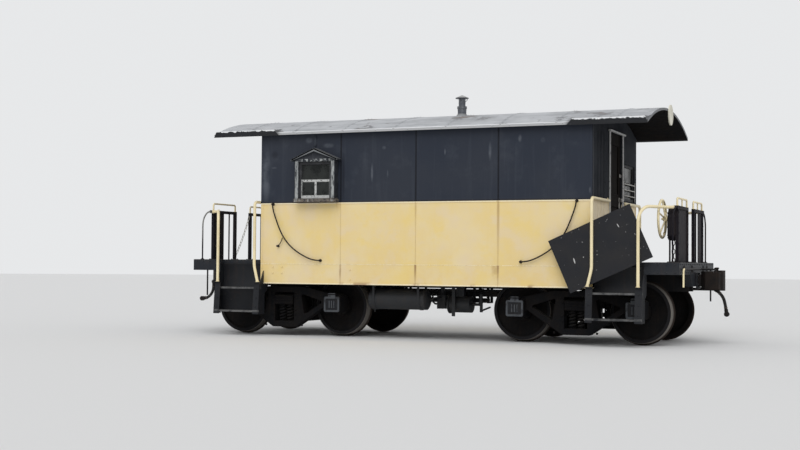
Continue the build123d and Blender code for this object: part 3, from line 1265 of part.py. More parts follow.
def step_board():
    """Loose board resting on the inner step side, behind the near handrails, tilted along the side."""
    y = -HANDRAIL_Y + PIPE_RADIUS + BOARD_CLEARANCE + BOARD_THICKNESS / 2
    foot = Vector(STEP_INNER_X, y, STRINGER_TOP)
    tilted = Plane(origin=foot, x_dir=(1, 0, 0), z_dir=(0, -1, 0)) * Rot(0, 0, BOARD_TILT)
    rise = SEAT_GAP + BOARD_HEIGHT / 2
    return tilted * Pos(BOARD_SHIFT, rise, 0) * Box(BOARD_LENGTH, BOARD_HEIGHT, BOARD_THICKNESS)


save("underframe", underframe())
save("floor", floor())
save("roof", roof())
save("smoke_jack", smoke_jack())
save("end_disc", end_disc())
save("side_sills", *[side_sill(side) for side in SIDES])
for side in SIDES:
    lower, upper = side_walls(side)
    save(f"side_lower_{side}", lower)
    save(f"side_upper_{side}", upper)
    save(f"bay_window_{side}", bay_window(side))
sashes = [bay_sash(side) for side in SIDES]
guards = []
for end in ENDS:
    sashes.append(to_end(end_sash(), end))
    guards.append(to_end(end_guard(), end))
save("window_sashes", *sashes)
save("window_guards", *guards)
save("window_glass", *glass_panes())

step_sets = four_corners(steps(True))
step_sets["b"][0] = steps(False)
rail_pairs = [four_corners(rail) for rail in handrails()]
grips = {end: four_corners(railing_grip(end == "b"))[end] for end in ENDS}
plain_railing = four_corners(railing_section(False))
for end in ENDS:
    save(f"end_wall_{end}", to_end(end_wall(), end))
    save(f"door_{end}", to_end(door(), end))
    save(f"platform_{end}", to_end(platform(), end))
    save(f"steps_{end}", *step_sets[end])
    rails = [rail for pair in rail_pairs for rail in pair[end]]
    save(f"handrails_{end}", *rails, *grips[end])
    save(f"coupler_{end}", to_end(coupler(), end))
    save(f"air_hose_{end}", to_end(air_hose(end), end))
    save(f"gladhand_{end}", to_end(gladhand(end), end))
save("end_railing_a", *plain_railing["a"])
save("end_railing_b", railing_section(True), plain_railing["b"][1])
save("uncoupling_levers", *[to_end(uncoupling_lever(), end) for end in ENDS])
save("angle_cocks", *[to_end(angle_cock(end), end) for end in ENDS])
save("brake_stand", brake_stand())
save("brake_wheel", brake_wheel())
chain_x = RAILING_X - RAILING_BAR / 2 - BRAKE_HOUSING_DEPTH / 2
chain_top = (chain_x, BRAKE_WHEEL_Y, BRAKE_HOUSING_BOTTOM - SEAT_GAP)
brake_chain = chain(chain_top, (chain_x, BRAKE_WHEEL_Y, DECK_TOP + SEAT_GAP), 7)
chain_drop = RAILING_TOP - DECK_TOP - 100
lean = 2 * RAILING_INNER_Y / math.hypot(2 * RAILING_INNER_Y, chain_drop)
chain_y = RAILING_INNER_Y - SEAT_GAP - (1 - lean) * CHAIN_LINK_WIDTH / 2
chain_low = (-RAILING_X, -chain_y, DECK_TOP + 60)
safety_chain = chain((-RAILING_X, chain_y, DECK_TOP + 60 + chain_drop), chain_low, 15)
save("chains", brake_chain, safety_chain)
save("air_tank", air_tank())
save("brake_cylinder", brake_cylinder())
grab_rods = [to_side(grab_rod(way), side) for way in (-1, 1) for side in SIDES]
save("grab_rods", *grab_rods)
save("step_board", step_board())

for end, sign in ENDS.items():
    place = Pos(sign * TRUCK_X, 0, 0)
    save(f"side_frames_{end}", *[place * to_side(side_frame(), side) for side in SIDES])
    lids = [lid for side in SIDES for lid in (to_side(one, side) for one in journal_lids())]
    save(f"journal_lids_{end}", *[place * lid for lid in lids])
    save(f"bolster_{end}", place * bolster())
    coils = [coil for side in SIDES for coil in (to_side(one, side) for one in springs())]
    save(f"springs_{end}", *[place * coil for coil in coils])
    beams = [brake_beam(), Rot(0, 0, 180) * brake_beam()]
    save(f"brake_beams_{end}", *[place * beam for beam in beams])
    for position, step in (("outer", sign), ("inner", -sign)):
        spot = place * Pos(step * WHEELBASE / 2, 0, AXLE_HEIGHT)
        save(f"wheels_{end}_{position}", *[spot * wheel(side) for side in (-1, 1)])
        save(f"axle_{end}_{position}", spot * axle())
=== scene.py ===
import bpy
import bmesh
import math
import random
from mathutils import Matrix, Vector


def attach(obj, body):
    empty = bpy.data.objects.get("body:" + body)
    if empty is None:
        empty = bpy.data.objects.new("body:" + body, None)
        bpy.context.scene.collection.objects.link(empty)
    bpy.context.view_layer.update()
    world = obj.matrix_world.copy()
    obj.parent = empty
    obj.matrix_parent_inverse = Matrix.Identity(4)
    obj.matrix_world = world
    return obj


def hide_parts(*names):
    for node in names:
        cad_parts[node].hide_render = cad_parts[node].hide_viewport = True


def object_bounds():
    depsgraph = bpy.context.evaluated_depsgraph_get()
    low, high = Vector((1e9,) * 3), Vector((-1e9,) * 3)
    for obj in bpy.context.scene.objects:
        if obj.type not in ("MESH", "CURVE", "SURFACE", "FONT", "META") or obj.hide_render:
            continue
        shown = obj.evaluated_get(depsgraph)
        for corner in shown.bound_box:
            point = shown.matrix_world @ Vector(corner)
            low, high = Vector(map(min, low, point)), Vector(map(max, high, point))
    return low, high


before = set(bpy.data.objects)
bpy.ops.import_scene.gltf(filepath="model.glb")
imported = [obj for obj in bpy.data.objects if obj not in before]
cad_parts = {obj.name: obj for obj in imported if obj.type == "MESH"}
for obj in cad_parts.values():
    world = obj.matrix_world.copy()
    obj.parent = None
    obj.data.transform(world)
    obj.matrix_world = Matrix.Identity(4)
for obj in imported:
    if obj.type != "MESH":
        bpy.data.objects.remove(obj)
cad_box = [list(corner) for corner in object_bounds()]
scene = bpy.context.scene
random.seed(7)

# Camera.
# It stands about 17 m off the near side, past the end with the brake wheel, at chest height.
# Its lens is a little longer than normal, and it looks slightly up.
CAMERA_PLACE = Vector((7.033, -18.2848, 1.0952))
CAMERA_YAW = 0.4057
CAMERA_PITCH = 0.0291
CAMERA_ROLL = 0.0076
CAMERA_LENS = 58.574

ahead = Vector((-math.sin(CAMERA_YAW), math.cos(CAMERA_YAW), 0)) * math.cos(CAMERA_PITCH)
ahead.z = math.sin(CAMERA_PITCH)
level = Vector((math.cos(CAMERA_YAW), math.sin(CAMERA_YAW), 0))
upright = level.cross(ahead)
across = math.cos(CAMERA_ROLL) * level + math.sin(CAMERA_ROLL) * upright
upward = math.cos(CAMERA_ROLL) * upright - math.sin(CAMERA_ROLL) * level
camera = bpy.data.objects.new("camera", bpy.data.cameras.new("camera"))
camera.data.lens = CAMERA_LENS
camera.data.sensor_width = 36
camera.data.clip_end = 300
turn = Matrix((across, upward, -ahead)).transposed().to_4x4()
camera.matrix_world = Matrix.Translation(CAMERA_PLACE) @ turn
scene.collection.objects.link(camera)
scene.camera = camera
scene.view_settings.view_transform = "Standard"

# Studio floor and light.
# A pale floor runs out to the horizon under an even pale sky; one broad soft lamp stands for the bright
# part of an overcast sky, above and in front of the near side.
FLOOR_RADIUS = 90
FLOOR_GREY = (0.74, 0.745, 0.75, 1)
SKY_SEEN = (0.80, 0.81, 0.82, 1)
SKY_LIGHT = 0.62
LAMP_POWER = 1.25
LAMP_SPREAD = math.radians(50)
LAMP_TILT = math.radians(42)
LAMP_TURN = math.radians(14)


class Value:
    """A shader value that is reckoned with like a number; a | b is the larger one, and ~a is 1 - a."""

    def __init__(self, socket):
        self.socket = socket

    def calc(self, operation, other=0.5):
        return shade(self.socket.id_data, "ShaderNodeMath", {0: self, 1: other}, operation=operation)

    def __mul__(self, other):
        return self.calc("MULTIPLY", other)

    def __add__(self, other):
        return self.calc("ADD", other)

    def __sub__(self, other):
        return self.calc("SUBTRACT", other)

    def __truediv__(self, other):
        return self.calc("DIVIDE", other)

    def __abs__(self):
        return self.calc("ABSOLUTE")

    def __or__(self, other):
        return self.calc("MAXIMUM", other)

    def __invert__(self):
        return shade(self.socket.id_data, "ShaderNodeMath", {0: 1.0, 1: self}, operation="SUBTRACT")


def plug(made, inputs):
    """Puts values and links into a node's sockets."""
    for key, value in inputs.items():
        if isinstance(value, Value):
            made.id_data.links.new(value.socket, made.inputs[key])
        else:
            made.inputs[key].default_value = value


def node(tree, kind, inputs, **settings):
    """One shader node, with its settings and what goes into it."""
    made = tree.nodes.new(kind)
    for key, value in settings.items():
        setattr(made, key, value)
    plug(made, inputs)
    return made


def shade(tree, kind, inputs, output=0, **settings):
    """What one shader node puts out."""
    return Value(node(tree, kind, inputs, **settings).outputs[output])


def new_material(name, inputs):
    """A material and its shader."""
    material = bpy.data.materials.new(name)
    material.use_nodes = True
    shader = material.node_tree.nodes["Principled BSDF"]
    plug(shader, inputs)
    return material, shader


def linked(name, mesh, material):
    """A new object from finished mesh code."""
    data = bpy.data.meshes.new(name)
    mesh.to_mesh(data)
    mesh.free()
    data.materials.append(material)
    made = bpy.data.objects.new(name, data)
    scene.collection.objects.link(made)
    return made


def floor_disc():
    """Flat round floor under the wheels."""
    mesh = bmesh.new()
    bmesh.ops.create_circle(mesh, cap_ends=True, radius=FLOOR_RADIUS, segments=96)
    tone = {"Base Color": FLOOR_GREY, "Roughness": 0.9, "Specular IOR Level": 0.1}
    disc = linked("studio_floor", mesh, new_material("studio_floor", tone)[0])
    disc.location.z = cad_box[0][2] - 0.001


floor_disc()

world = bpy.data.worlds.new("sky")
world.use_nodes = True
scene.world = world
sky = world.node_tree
sky.nodes.clear()
rays = node(sky, "ShaderNodeLightPath", {}).outputs
seen = Value(rays["Is Camera Ray"]) | Value(rays["Is Glossy Ray"]) | Value(rays["Is Transmission Ray"])
glow = shade(sky, "ShaderNodeBackground", {"Color": (1, 1, 1, 1), "Strength": SKY_LIGHT})
backdrop = shade(sky, "ShaderNodeBackground", {"Color": SKY_SEEN, "Strength": 1.0})
either = shade(sky, "ShaderNodeMixShader", {0: seen, 1: glow, 2: backdrop})
node(sky, "ShaderNodeOutputWorld", {"Surface": either})

lamp = bpy.data.objects.new("overcast_lamp", bpy.data.lights.new("overcast_lamp", "SUN"))
lamp.data.energy = LAMP_POWER
lamp.data.angle = LAMP_SPREAD
lamp.rotation_euler = (LAMP_TILT, 0, LAMP_TURN)
scene.collection.objects.link(lamp)

# Air hoses.
# Rubber brake hoses, one hanging from the pipe end at each end sill, held by a steel clamp at both ends.
# The far end carries its cast coupling, so nothing is cut off.
ENDS = {"a": -1, "b": 1}
HOSE_DIAMETER = 0.044
HOSE_ROUTES = {
    "a": ((3.930, 0.300, 0.719), (3.934, 0.302, 0.639), (3.968, 0.304, 0.574), (4.032, 0.300, 0.519),
          (4.074, 0.296, 0.513)),
    "b": ((3.930, 0.300, 0.719), (3.986, 0.303, 0.663), (4.016, 0.305, 0.569), (4.030, 0.304, 0.479)),
}
CLAMP_WIDTH = 0.016
CLAMP_BOLT = ((0.006, 0), (0.006, 0.005), (0.003, 0.006), (0.003, 0.024), (0.006, 0.025), (0.006, 0.030))
RUBBER = (0.017, 0.017, 0.018, 1)
RUBBER_PALE = (0.045, 0.043, 0.040, 1)
RUBBER_CRACKED = (0.075, 0.070, 0.062, 1)
CLAMP_STEEL = (0.10, 0.095, 0.09, 1)
CLAMP_RUST = (0.11, 0.055, 0.030, 1)
DUST = (0.085, 0.080, 0.070, 1)


def spot(tree, kind="Object"):
    """Place on the part, or with kind Normal the way its surface faces."""
    return shade(tree, "ShaderNodeTexCoord", {}, kind)


def axis_of(vector, axis):
    """One coordinate of a shader vector."""
    return shade(vector.socket.id_data, "ShaderNodeSeparateXYZ", {0: vector}, axis)


def mapped(vector, **inputs):
    """A shader vector moved, turned or scaled."""
    return shade(vector.socket.id_data, "ShaderNodeMapping", {"Vector": vector, **inputs})


def noise(where, scale, detail=3.0, roughness=0.5):
    """Cloudy values round 0.5."""
    values = {"Vector": where, "Scale": scale, "Detail": detail, "Roughness": roughness}
    return shade(where.socket.id_data, "ShaderNodeTexNoise", values)


def mask(value, low, high):
    """0 at low and 1 at high, smooth between."""
    values = {"Value": value, "From Min": low, "From Max": high}
    return shade(value.socket.id_data, "ShaderNodeMapRange", values, interpolation_type="SMOOTHSTEP")


def mixed(share, under, over):
    """One colour laid over another by a share."""
    return shade(share.socket.id_data, "ShaderNodeMix", {0: share, 6: under, 7: over}, 2, data_type="RGBA")


def effect_group(name, inputs, outputs):
    """An empty shader group: the group, its values by name, and its output node."""
    group = bpy.data.node_groups.new(name, "ShaderNodeTree")
    for key, value in inputs.items():
        made = group.interface.new_socket(key, in_out="INPUT", socket_type="NodeSocketFloat")
        made.default_value = value
    for key in outputs:
        kind = "NodeSocketVector" if key == "Normal" else "NodeSocketFloat"
        group.interface.new_socket(key, in_out="OUTPUT", socket_type=kind)
    values = group.nodes.new("NodeGroupInput").outputs
    return group, {key: Value(values[key]) for key in inputs}, group.nodes.new("NodeGroupOutput")


def effect(tree, group, inputs):
    """A shader group at work: its outputs by name."""
    made = node(tree, "ShaderNodeGroup", inputs, node_tree=group)
    return {socket.name: Value(socket) for socket in made.outputs}


def weathering_group():
    """Broad tone, fine grain, rain runs, and the dust that settles on upward faces."""
    inputs = {"Broad Scale": 1.2, "Grain Scale": 45.0}
    group, values, out = effect_group("weathering", inputs, ("Broad", "Grain", "Runs", "Settled"))
    where = spot(group)
    runs = noise(mapped(where, Scale=(9, 9, 0.55)), 1.6, 3.0, 0.55)
    upward = mask(axis_of(spot(group, "Normal"), "Z"), 0.3, 0.95)
    plug(out, {
        "Broad": mask(noise(where, values["Broad Scale"], 4.0, 0.6), 0.36, 0.66),
        "Grain": noise(where, values["Grain Scale"], 4.0, 0.65),
        "Runs": mask(runs, 0.50, 0.72),
        "Settled": upward * mask(noise(where, 5.0), 0.25, 0.6),
    })
    return group


def edge_wear_group():
    """Where an edge is, broken up as real rubbing is, and the surface with that edge slightly rounded."""
    inputs = {"Radius": 0.005, "Break Scale": 28.0}
    group, values, out = effect_group("edge_wear", inputs, ("Mask", "Normal"))
    rounded = shade(group, "ShaderNodeBevel", {"Radius": values["Radius"]}, samples=4)
    plain = shade(group, "ShaderNodeNewGeometry", {}, "Normal")
    same = shade(group, "ShaderNodeVectorMath", {0: rounded, 1: plain}, "Value", operation="DOT_PRODUCT")
    broken = mask(noise(spot(group), values["Break Scale"], 4.0, 0.6), 0.40, 0.58)
    plug(out, {"Mask": mask(same, 0.985, 0.82) * broken, "Normal": rounded})
    return group


def flakes_group():
    """Hard-edged patches where the paint has come off; a lower limit leaves more of them."""
    group, values, out = effect_group("flakes", {"Scale": 9.0, "Limit": 0.66}, ("Mask",))
    fine = noise(spot(group), values["Scale"], 7.0, 0.68)
    plug(out, {"Mask": mask(fine, values["Limit"], values["Limit"] + 0.02)})
    return group


WEATHERING = weathering_group()
EDGE_WEAR = edge_wear_group()
FLAKES = flakes_group()


def weathered(
    name, colour, shade_colour, worn, roughness=0.6, metallic=0.0, scale=1.2, broad=0.6, runs=0.15,
    run_colour=None, flakes=0.70, flake_scale=9.0, wear=0.5, edge=0.005, dust=0.2, dust_colour=DUST,
    grain=0.3, layers=None, gloss=0.5,
):
    """A weathered finish: two tones, rain runs, lost flakes, rubbed edges and settled dust."""
    material, shader = new_material(name, {"Metallic": metallic, "Specular IOR Level": gloss})
    tree = material.node_tree
    weather = effect(tree, WEATHERING, {"Broad Scale": scale})
    edges = effect(tree, EDGE_WEAR, {"Radius": edge})
    chips = effect(tree, FLAKES, {"Limit": flakes, "Scale": flake_scale})
    tone = mixed(weather["Broad"] * broad, colour, shade_colour)
    tone = mixed(weather["Runs"] * runs, tone, run_colour or worn)
    for share, over in layers(tree) if layers else ():
        tone = mixed(share, tone, over)
    bare = edges["Mask"] * wear | chips["Mask"]
    settled = weather["Settled"] * dust
    tone = mixed(settled, mixed(bare, tone, worn), dust_colour)
    relief = {"Height": weather["Grain"] - bare, "Normal": edges["Normal"]}
    relief |= {"Strength": grain, "Distance": 0.002}
    plug(shader, {
        "Base Color": tone,
        "Roughness": weather["Grain"] * 0.3 + (roughness - 0.15) + (bare | settled) * 0.3,
        "Normal": shade(tree, "ShaderNodeBump", relief),
    })
    return material


def compass(count, start=0.0, step=None):
    """Cosine and sine at even steps, which go once round if no step is given."""
    angles = [start + n * (step or 2 * math.pi / count) for n in range(count)]
    return [(math.cos(angle), math.sin(angle)) for angle in angles]


def ring_of(mesh, centre, first, second, radius, sides):
    """Corners on a circle."""
    return [mesh.verts.new(centre + radius * (c * first + s * second)) for c, s in compass(sides)]


def skinned(mesh, rings, closed=False):
    """Faces between rings of corners, with both ends capped unless the last meets the first."""
    pairs = list(zip(rings, rings[1:]))
    if closed:
        pairs.append((rings[-1], rings[0]))
    for low, high in pairs:
        for n in range(len(low)):
            m = (n + 1) % len(low)
            mesh.faces.new((low[n], low[m], high[m], high[n]))
    if not closed:
        mesh.faces.new(tuple(reversed(rings[0])))
        mesh.faces.new(tuple(rings[-1]))


def turned(mesh, foot, axis, profile, sides=14):
    """A turned form: rings of (radius, height) along an axis from its foot."""
    foot, axis = Vector(foot), Vector(axis).normalized()
    first = axis.orthogonal().normalized()
    second = axis.cross(first)
    rings = [ring_of(mesh, foot + axis * high, first, second, radius, sides) for radius, high in profile]
    skinned(mesh, rings)


def round_bar(mesh, points, radius, sides=8, closed=False):
    """A round bar along a line of points."""
    points = [Vector(point) for point in points]
    count = len(points)
    rings = []
    first = None
    for n, point in enumerate(points):
        before = points[n - 1] if n or closed else point
        after = points[(n + 1) % count] if n < count - 1 or closed else point
        run = (after - before).normalized()
        first = run.orthogonal() if first is None else first - run * first.dot(run)
        first.normalize()
        rings.append(ring_of(mesh, point, first, run.cross(first), radius, sides))
    skinned(mesh, rings, closed)


def piece(name, mesh, material, body, sharp=40):
    """Makes finished mesh code into a piece that rides on a body."""
    bmesh.ops.recalc_face_normals(mesh, faces=mesh.faces)
    made = linked(name, mesh, material)
    made.data.shade_smooth()
    made.data.set_sharp_from_angle(angle=math.radians(sharp))
    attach(made, body)
    return made


def hose_clamps(end, points, material):
    """Steel bands round the hose near both its ends, each drawn up by a bolt through its ears."""
    mesh = bmesh.new()
    radius, half = HOSE_DIAMETER / 2, CLAMP_WIDTH / 2
    band = ((radius - 0.002, -half), (radius + 0.003, -half), (radius + 0.003, half), (radius - 0.002, half))
    for at, towards in ((points[0], points[1]), (points[-1], points[-2])):
        run = (towards - at).normalized()
        middle = at + run * 0.022
        turned(mesh, middle, run, band, 28)
        out = Vector((0, -ENDS[end], 0))
        bolt = run.cross(out).normalized()
        turned(mesh, middle + out * (radius + 0.008) - bolt * 0.014, bolt, CLAMP_BOLT, 6)
    return piece(f"hose_clamps_{end}", mesh, material, "root")


def air_hose(end, material, clamp_material):
    """Smooth hanging hose on its route."""
    curve = bpy.data.curves.new(f"hose_{end}", "CURVE")
    curve.dimensions = "3D"
    curve.bevel_depth = HOSE_DIAMETER / 2
    curve.bevel_resolution = 6
    curve.resolution_u = 24
    curve.use_fill_caps = True
    spline = curve.splines.new("NURBS")
    points = [Vector((ENDS[end] * x, ENDS[end] * y, z)) for x, y, z in HOSE_ROUTES[end]]
    spline.points.add(len(points) - 1)
    for control, point in zip(spline.points, points):
        control.co = (*point, 1)
    spline.order_u = 3
    spline.use_endpoint_u = True
    hose = bpy.data.objects.new(f"hose_{end}", curve)
    scene.collection.objects.link(hose)
    curve.materials.append(material)
    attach(hose, "root")
    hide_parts(f"air_hose_{end}")
    fittings = [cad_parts[f"gladhand_{end}"], hose_clamps(end, points, clamp_material)]


rubber = weathered(
    "hose_rubber", RUBBER, RUBBER_PALE, RUBBER_CRACKED, roughness=0.7, scale=18, flakes=0.72, flake_scale=60,
    wear=0.2, dust=0.5, grain=0.5, gloss=0.2,
)
clamp_steel = weathered(
    "clamp_steel", CLAMP_STEEL, CLAMP_RUST, CLAMP_RUST, roughness=0.5, metallic=0.6, scale=25, edge=0.002,
)
for end in ENDS:
    air_hose(end, rubber, clamp_steel)

# Underframe and cabin floor.
# Riveted steel centre sill, body bolsters and cross beams, long since painted black over rust.
# The cabin floor is tongued pine boards laid across it.
FRAME_BLACK = (0.014, 0.015, 0.018, 1)
FRAME_BROWN = (0.026, 0.021, 0.018, 1)
FRAME_RUST = (0.060, 0.036, 0.024, 1)
FLOOR_PINE = (0.16, 0.115, 0.075, 1)
FLOOR_PINE_DARK = (0.085, 0.062, 0.043, 1)
FLOOR_GREY_WORN = (0.22, 0.19, 0.15, 1)
JOINT_DARK = (0.012, 0.010, 0.008, 1)
FLOOR_BOARD = 0.14


def give(material, *names):
    """Puts a material on CAD nodes."""
    for name in names:
        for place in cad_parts[name].material_slots:
            place.material = material


def along(tree, axis):
    """One coordinate of the part's own frame."""
    return axis_of(spot(tree), axis)


def near(value, centre, half, soft=0.004):
    """1 within half of a centre, fading to 0 over a soft edge."""
    return mask(abs(value - centre), half + soft, half)


def board_tones(tree):
    """Dark joints between the floor's boards, and a tone of its own for each."""
    place = along(tree, "X") / FLOOR_BOARD
    joint = near((place + 100).calc("FRACT"), 0.0, 0.012, 0.012)
    board = {"W": place.calc("FLOOR")}
    own = shade(tree, "ShaderNodeTexWhiteNoise", board, "Value", noise_dimensions="1D")
    return [(own * 0.7, FLOOR_PINE_DARK), (joint, JOINT_DARK)]


frame_paint = weathered(
    "underframe_paint", FRAME_BLACK, FRAME_BROWN, FRAME_RUST, roughness=0.62, scale=2.2, runs=0.25,
    flakes=0.69, wear=0.35, dust=0.25, gloss=0.2,
)
pine = weathered(
    "floor_pine", FLOOR_PINE, FLOOR_PINE_DARK, FLOOR_GREY_WORN, roughness=0.75, scale=3, flakes=0.67,
    flake_scale=25, wear=0.2, layers=board_tones,
)
give(frame_paint, "underframe")
give(pine, "floor")

# Wheelsets.
# Cast iron wheels pressed on forged axles, each axle with its two wheels turning as one.
# Their plates are rusty, and the treads are worn smooth and bright by rolling.
# The wheel plates' near-black tones are darker than real iron: painted shade for the shadow under the car.
WHEEL_PLATE_SHADED = (0.0060, 0.0060, 0.0065, 1)
WHEEL_RUSTY = (0.012, 0.009, 0.008, 1)
WHEEL_BARE = (0.045, 0.032, 0.025, 1)
WHEEL_TREAD = (0.18, 0.165, 0.15, 1)
RIM_LIT = (0.017, 0.017, 0.019, 1)
TRUCK_CENTRE = 2.240
HALF_WHEELBASE = 0.838
AXLE_HEIGHT = 0.444
TREAD_RADIUS = 0.419
WHEEL_FACE_Y = 0.822


def length(first, second):
    """How long the arrow is that two shader values make."""
    tree = first.socket.id_data
    flat = shade(tree, "ShaderNodeCombineXYZ", {0: first, 1: second})
    return shade(tree, "ShaderNodeVectorMath", {0: flat}, "Value", operation="LENGTH")


def wheel_layers(tree):
    """Polished tread and a painted highlight on the rim face, by distance from the nearest axle."""
    sideways = abs(abs(along(tree, "X")) - TRUCK_CENTRE) - HALF_WHEELBASE
    radius = length(sideways, along(tree, "Z") - AXLE_HEIGHT)
    across = abs(along(tree, "Y"))
    face = mask(across, WHEEL_FACE_Y - 0.0005, WHEEL_FACE_Y + 0.0005)
    rim = near(radius, TREAD_RADIUS - 0.026, 0.022, 0.006)
    tread = mask(radius, TREAD_RADIUS - 0.0105, TREAD_RADIUS - 0.0075) * ~face * mask(across, 0.700, 0.725)
    return [
        (rim * face * 0.7, RIM_LIT),
        (mask(radius, TREAD_RADIUS + 0.002, TREAD_RADIUS + 0.006) * 0.5, WHEEL_BARE),
        (tread, WHEEL_TREAD),
    ]


wheel_iron = weathered(
    "wheel_iron", WHEEL_PLATE_SHADED, WHEEL_RUSTY, WHEEL_BARE, roughness=0.75, scale=5, runs=0.1, flakes=0.70,
    flake_scale=20, wear=0.25, dust=0.2, grain=0.5, layers=wheel_layers, gloss=0.1,
)
for end in ENDS:
    for position in ("outer", "inner"):
        give(wheel_iron, f"wheels_{end}_{position}", f"axle_{end}_{position}")

# Truck frames.
# Cast steel side frames with journal boxes, and a bolster hung between them, black under brake dust and rust.
# Box bolts, lid pins and the column guide bolts are separate hardware.
# The truck iron's near-black tones are darker than real black paint: painted shade for the shadow under the
# car.
TRUCK_IRON_SHADED = (0.0058, 0.0062, 0.0075, 1)
TRUCK_BROWN = (0.011, 0.009, 0.008, 1)
TRUCK_RUST = (0.030, 0.021, 0.016, 1)
LID_IRON = (0.011, 0.012, 0.015, 1)
LID_HIGHLIGHT_AND_WEAR = (0.075, 0.082, 0.092, 1)
BOX_BOLT_X = 0.102
BOX_BOLT_Y = 1.103
BOX_BOTTOM = 0.360
BOX_TOP = 0.603
FRAME_FACE_Y = 1.053
LID_FACE_Y = 1.165
LID_PIN_Z = 0.624
LID_PIN = ((0.006, 0), (0.011, 0.004), (0.011, 0.144), (0.006, 0.148))
COLUMN_BOLTS = (0.315, 0.385, 0.565, 0.625)
RIVET = ((1.0, 0.0), (0.96, 0.30), (0.76, 0.62), (0.42, 0.85), (0.08, 0.92))
NUT = ((1.0, 0.0), (1.0, 0.70), (0.88, 0.82), (0.50, 0.82), (0.50, 1.15), (0.40, 1.25))
UP = (0, 0, 1)
DOWN = (0, 0, -1)


def lid_layers(tree):
    """Rims and ribs of the lids, which stand proud, painted paler as a painted highlight."""
    proud = mask(abs(along(tree, "Y")), LID_FACE_Y - 0.004, LID_FACE_Y - 0.002)
    return [(proud * mask(noise(spot(tree), 16.0, 4.0), 0.25, 0.55) * 0.85, LID_HIGHLIGHT_AND_WEAR)]


truck_iron = weathered(
    "truck_iron", TRUCK_IRON_SHADED, TRUCK_BROWN, TRUCK_RUST, roughness=0.75, scale=3.5, runs=0.15, flakes=0.71,
    flake_scale=18, wear=0.35, edge=0.008, dust=0.3, grain=0.6, gloss=0.08,
)
lid_iron = weathered(
    "lid_iron", LID_IRON, TRUCK_BROWN, LID_HIGHLIGHT_AND_WEAR, roughness=0.5, scale=9, runs=0.1, flakes=0.71, flake_scale=30,
    wear=0.6, edge=0.006, dust=0.4, grain=0.5, layers=lid_layers, gloss=0.2,
)


def stud(mesh, foot, axis, radius, form=RIVET, sides=8):
    """A rivet head, or a nut on its bolt, standing on a surface."""
    turned(mesh, foot, axis, [(radius * r, radius * high) for r, high in form], sides)


def rivet(mesh, foot, axis, radius):
    """A large rivet head."""
    stud(mesh, foot, axis, radius, RIVET, 10)


def nut(mesh, foot, axis, radius):
    """A six-sided nut on its bolt."""
    stud(mesh, foot, axis, radius, NUT, 6)


def slab(mesh, x, y, z, bevel=0.002, place=None):
    """A plate or block between spans of X, Y and Z, given in either order, its edges eased."""
    corners = bmesh.ops.create_cube(mesh, size=1)["verts"]
    low = Vector([min(span) for span in (x, y, z)])
    size = Vector([max(span) for span in (x, y, z)]) - low
    for corner in corners:
        corner.co = low + Vector([(share + 0.5) * reach for share, reach in zip(corner.co, size)])
        if place is not None:
            corner.co = place @ corner.co
    edges = {edge for corner in corners for edge in corner.link_edges}
    bmesh.ops.bevel(mesh, geom=list(edges), offset=bevel, segments=1, affect="EDGES")


def about(centre, half):
    """The span that reaches half to either side of a centre."""
    return centre - half, centre + half


def truck_hardware(end, centre):
    """Box bolts, lid pins, frame bolts and brake hanger pins of one truck."""
    mesh = bmesh.new()
    for side in (-1, 1):
        for step in (-1, 1):
            axle_x = centre + step * HALF_WHEELBASE
            for x in about(axle_x, BOX_BOLT_X):
                nut(mesh, (x, side * BOX_BOLT_Y, BOX_BOTTOM + 0.001), DOWN, 0.017)
                nut(mesh, (x, side * BOX_BOLT_Y, BOX_TOP - 0.001), UP, 0.017)
            turned(mesh, (axle_x - 0.074, side * (LID_FACE_Y - 0.008), LID_PIN_Z), (1, 0, 0), LID_PIN, 12)
            face = side * (FRAME_FACE_Y - 0.001)
            for z in COLUMN_BOLTS:
                rivet(mesh, (centre + step * 0.185, face, z), (0, side, 0), 0.015)
            nut(mesh, (centre + step * 0.30, face, 0.16), (0, side, 0), 0.017)
    piece(f"truck_hardware_{end}", mesh, truck_iron, f"truck_{end}")


# Truck springs.
# Nested coils of round bar between pressed seats, two stacks in each side frame.
# A riveted channel runs across the truck under them.
SPRING_LOW = 0.215
SPRING_HIGH = 0.465
SPRING_Y = 0.978
SPRING_PITCH = 0.124
SPRING_RADIUS = 0.056
SPRING_SEAT = ((SPRING_RADIUS + 0.003, 0), (SPRING_RADIUS + 0.003, 0.008), (0.030, 0.009), (0.028, 0.018))
# Coils of one stack: outer radius, bar radius, turns, way round.
SPRING_COILS = ((SPRING_RADIUS, 0.0155, 5.2, 1), (0.031, 0.0095, 7.6, -1))
PLANK_HALF = 0.135
PLANK_END = 0.915
PLANK_RIVETS = (-0.86, -0.70, 0.70, 0.86)


def coil(mesh, foot, height, radius, bar, turns, way):
    """One coil spring with closed ends."""
    points = []
    steps = int(turns * 22)
    for n in range(steps + 1):
        share = n / steps
        climb = min(max((share - 0.07) / 0.86, 0), 1)
        angle = way * 2 * math.pi * turns * share
        spoke = Vector((math.cos(angle), math.sin(angle), 0)) * (radius - bar)
        points.append(Vector(foot) + spoke + Vector((0, 0, bar + climb * (height - 2 * bar))))
    round_bar(mesh, points, bar, 8)


def spring_stacks(end, centre):
    """All the coils and seats of one truck."""
    mesh = bmesh.new()
    for y in (-SPRING_Y, SPRING_Y):
        for x in about(centre, SPRING_PITCH / 2):
            turned(mesh, (x, y, SPRING_LOW), UP, SPRING_SEAT, 24)
            turned(mesh, (x, y, SPRING_HIGH), DOWN, SPRING_SEAT, 24)
            height = SPRING_HIGH - SPRING_LOW - 0.016
            for form in SPRING_COILS:
                coil(mesh, (x, y, SPRING_LOW + 0.008), height, *form)
    made = piece(f"spring_stacks_{end}", mesh, truck_iron, f"truck_{end}", 60)
    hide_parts(f"springs_{end}")


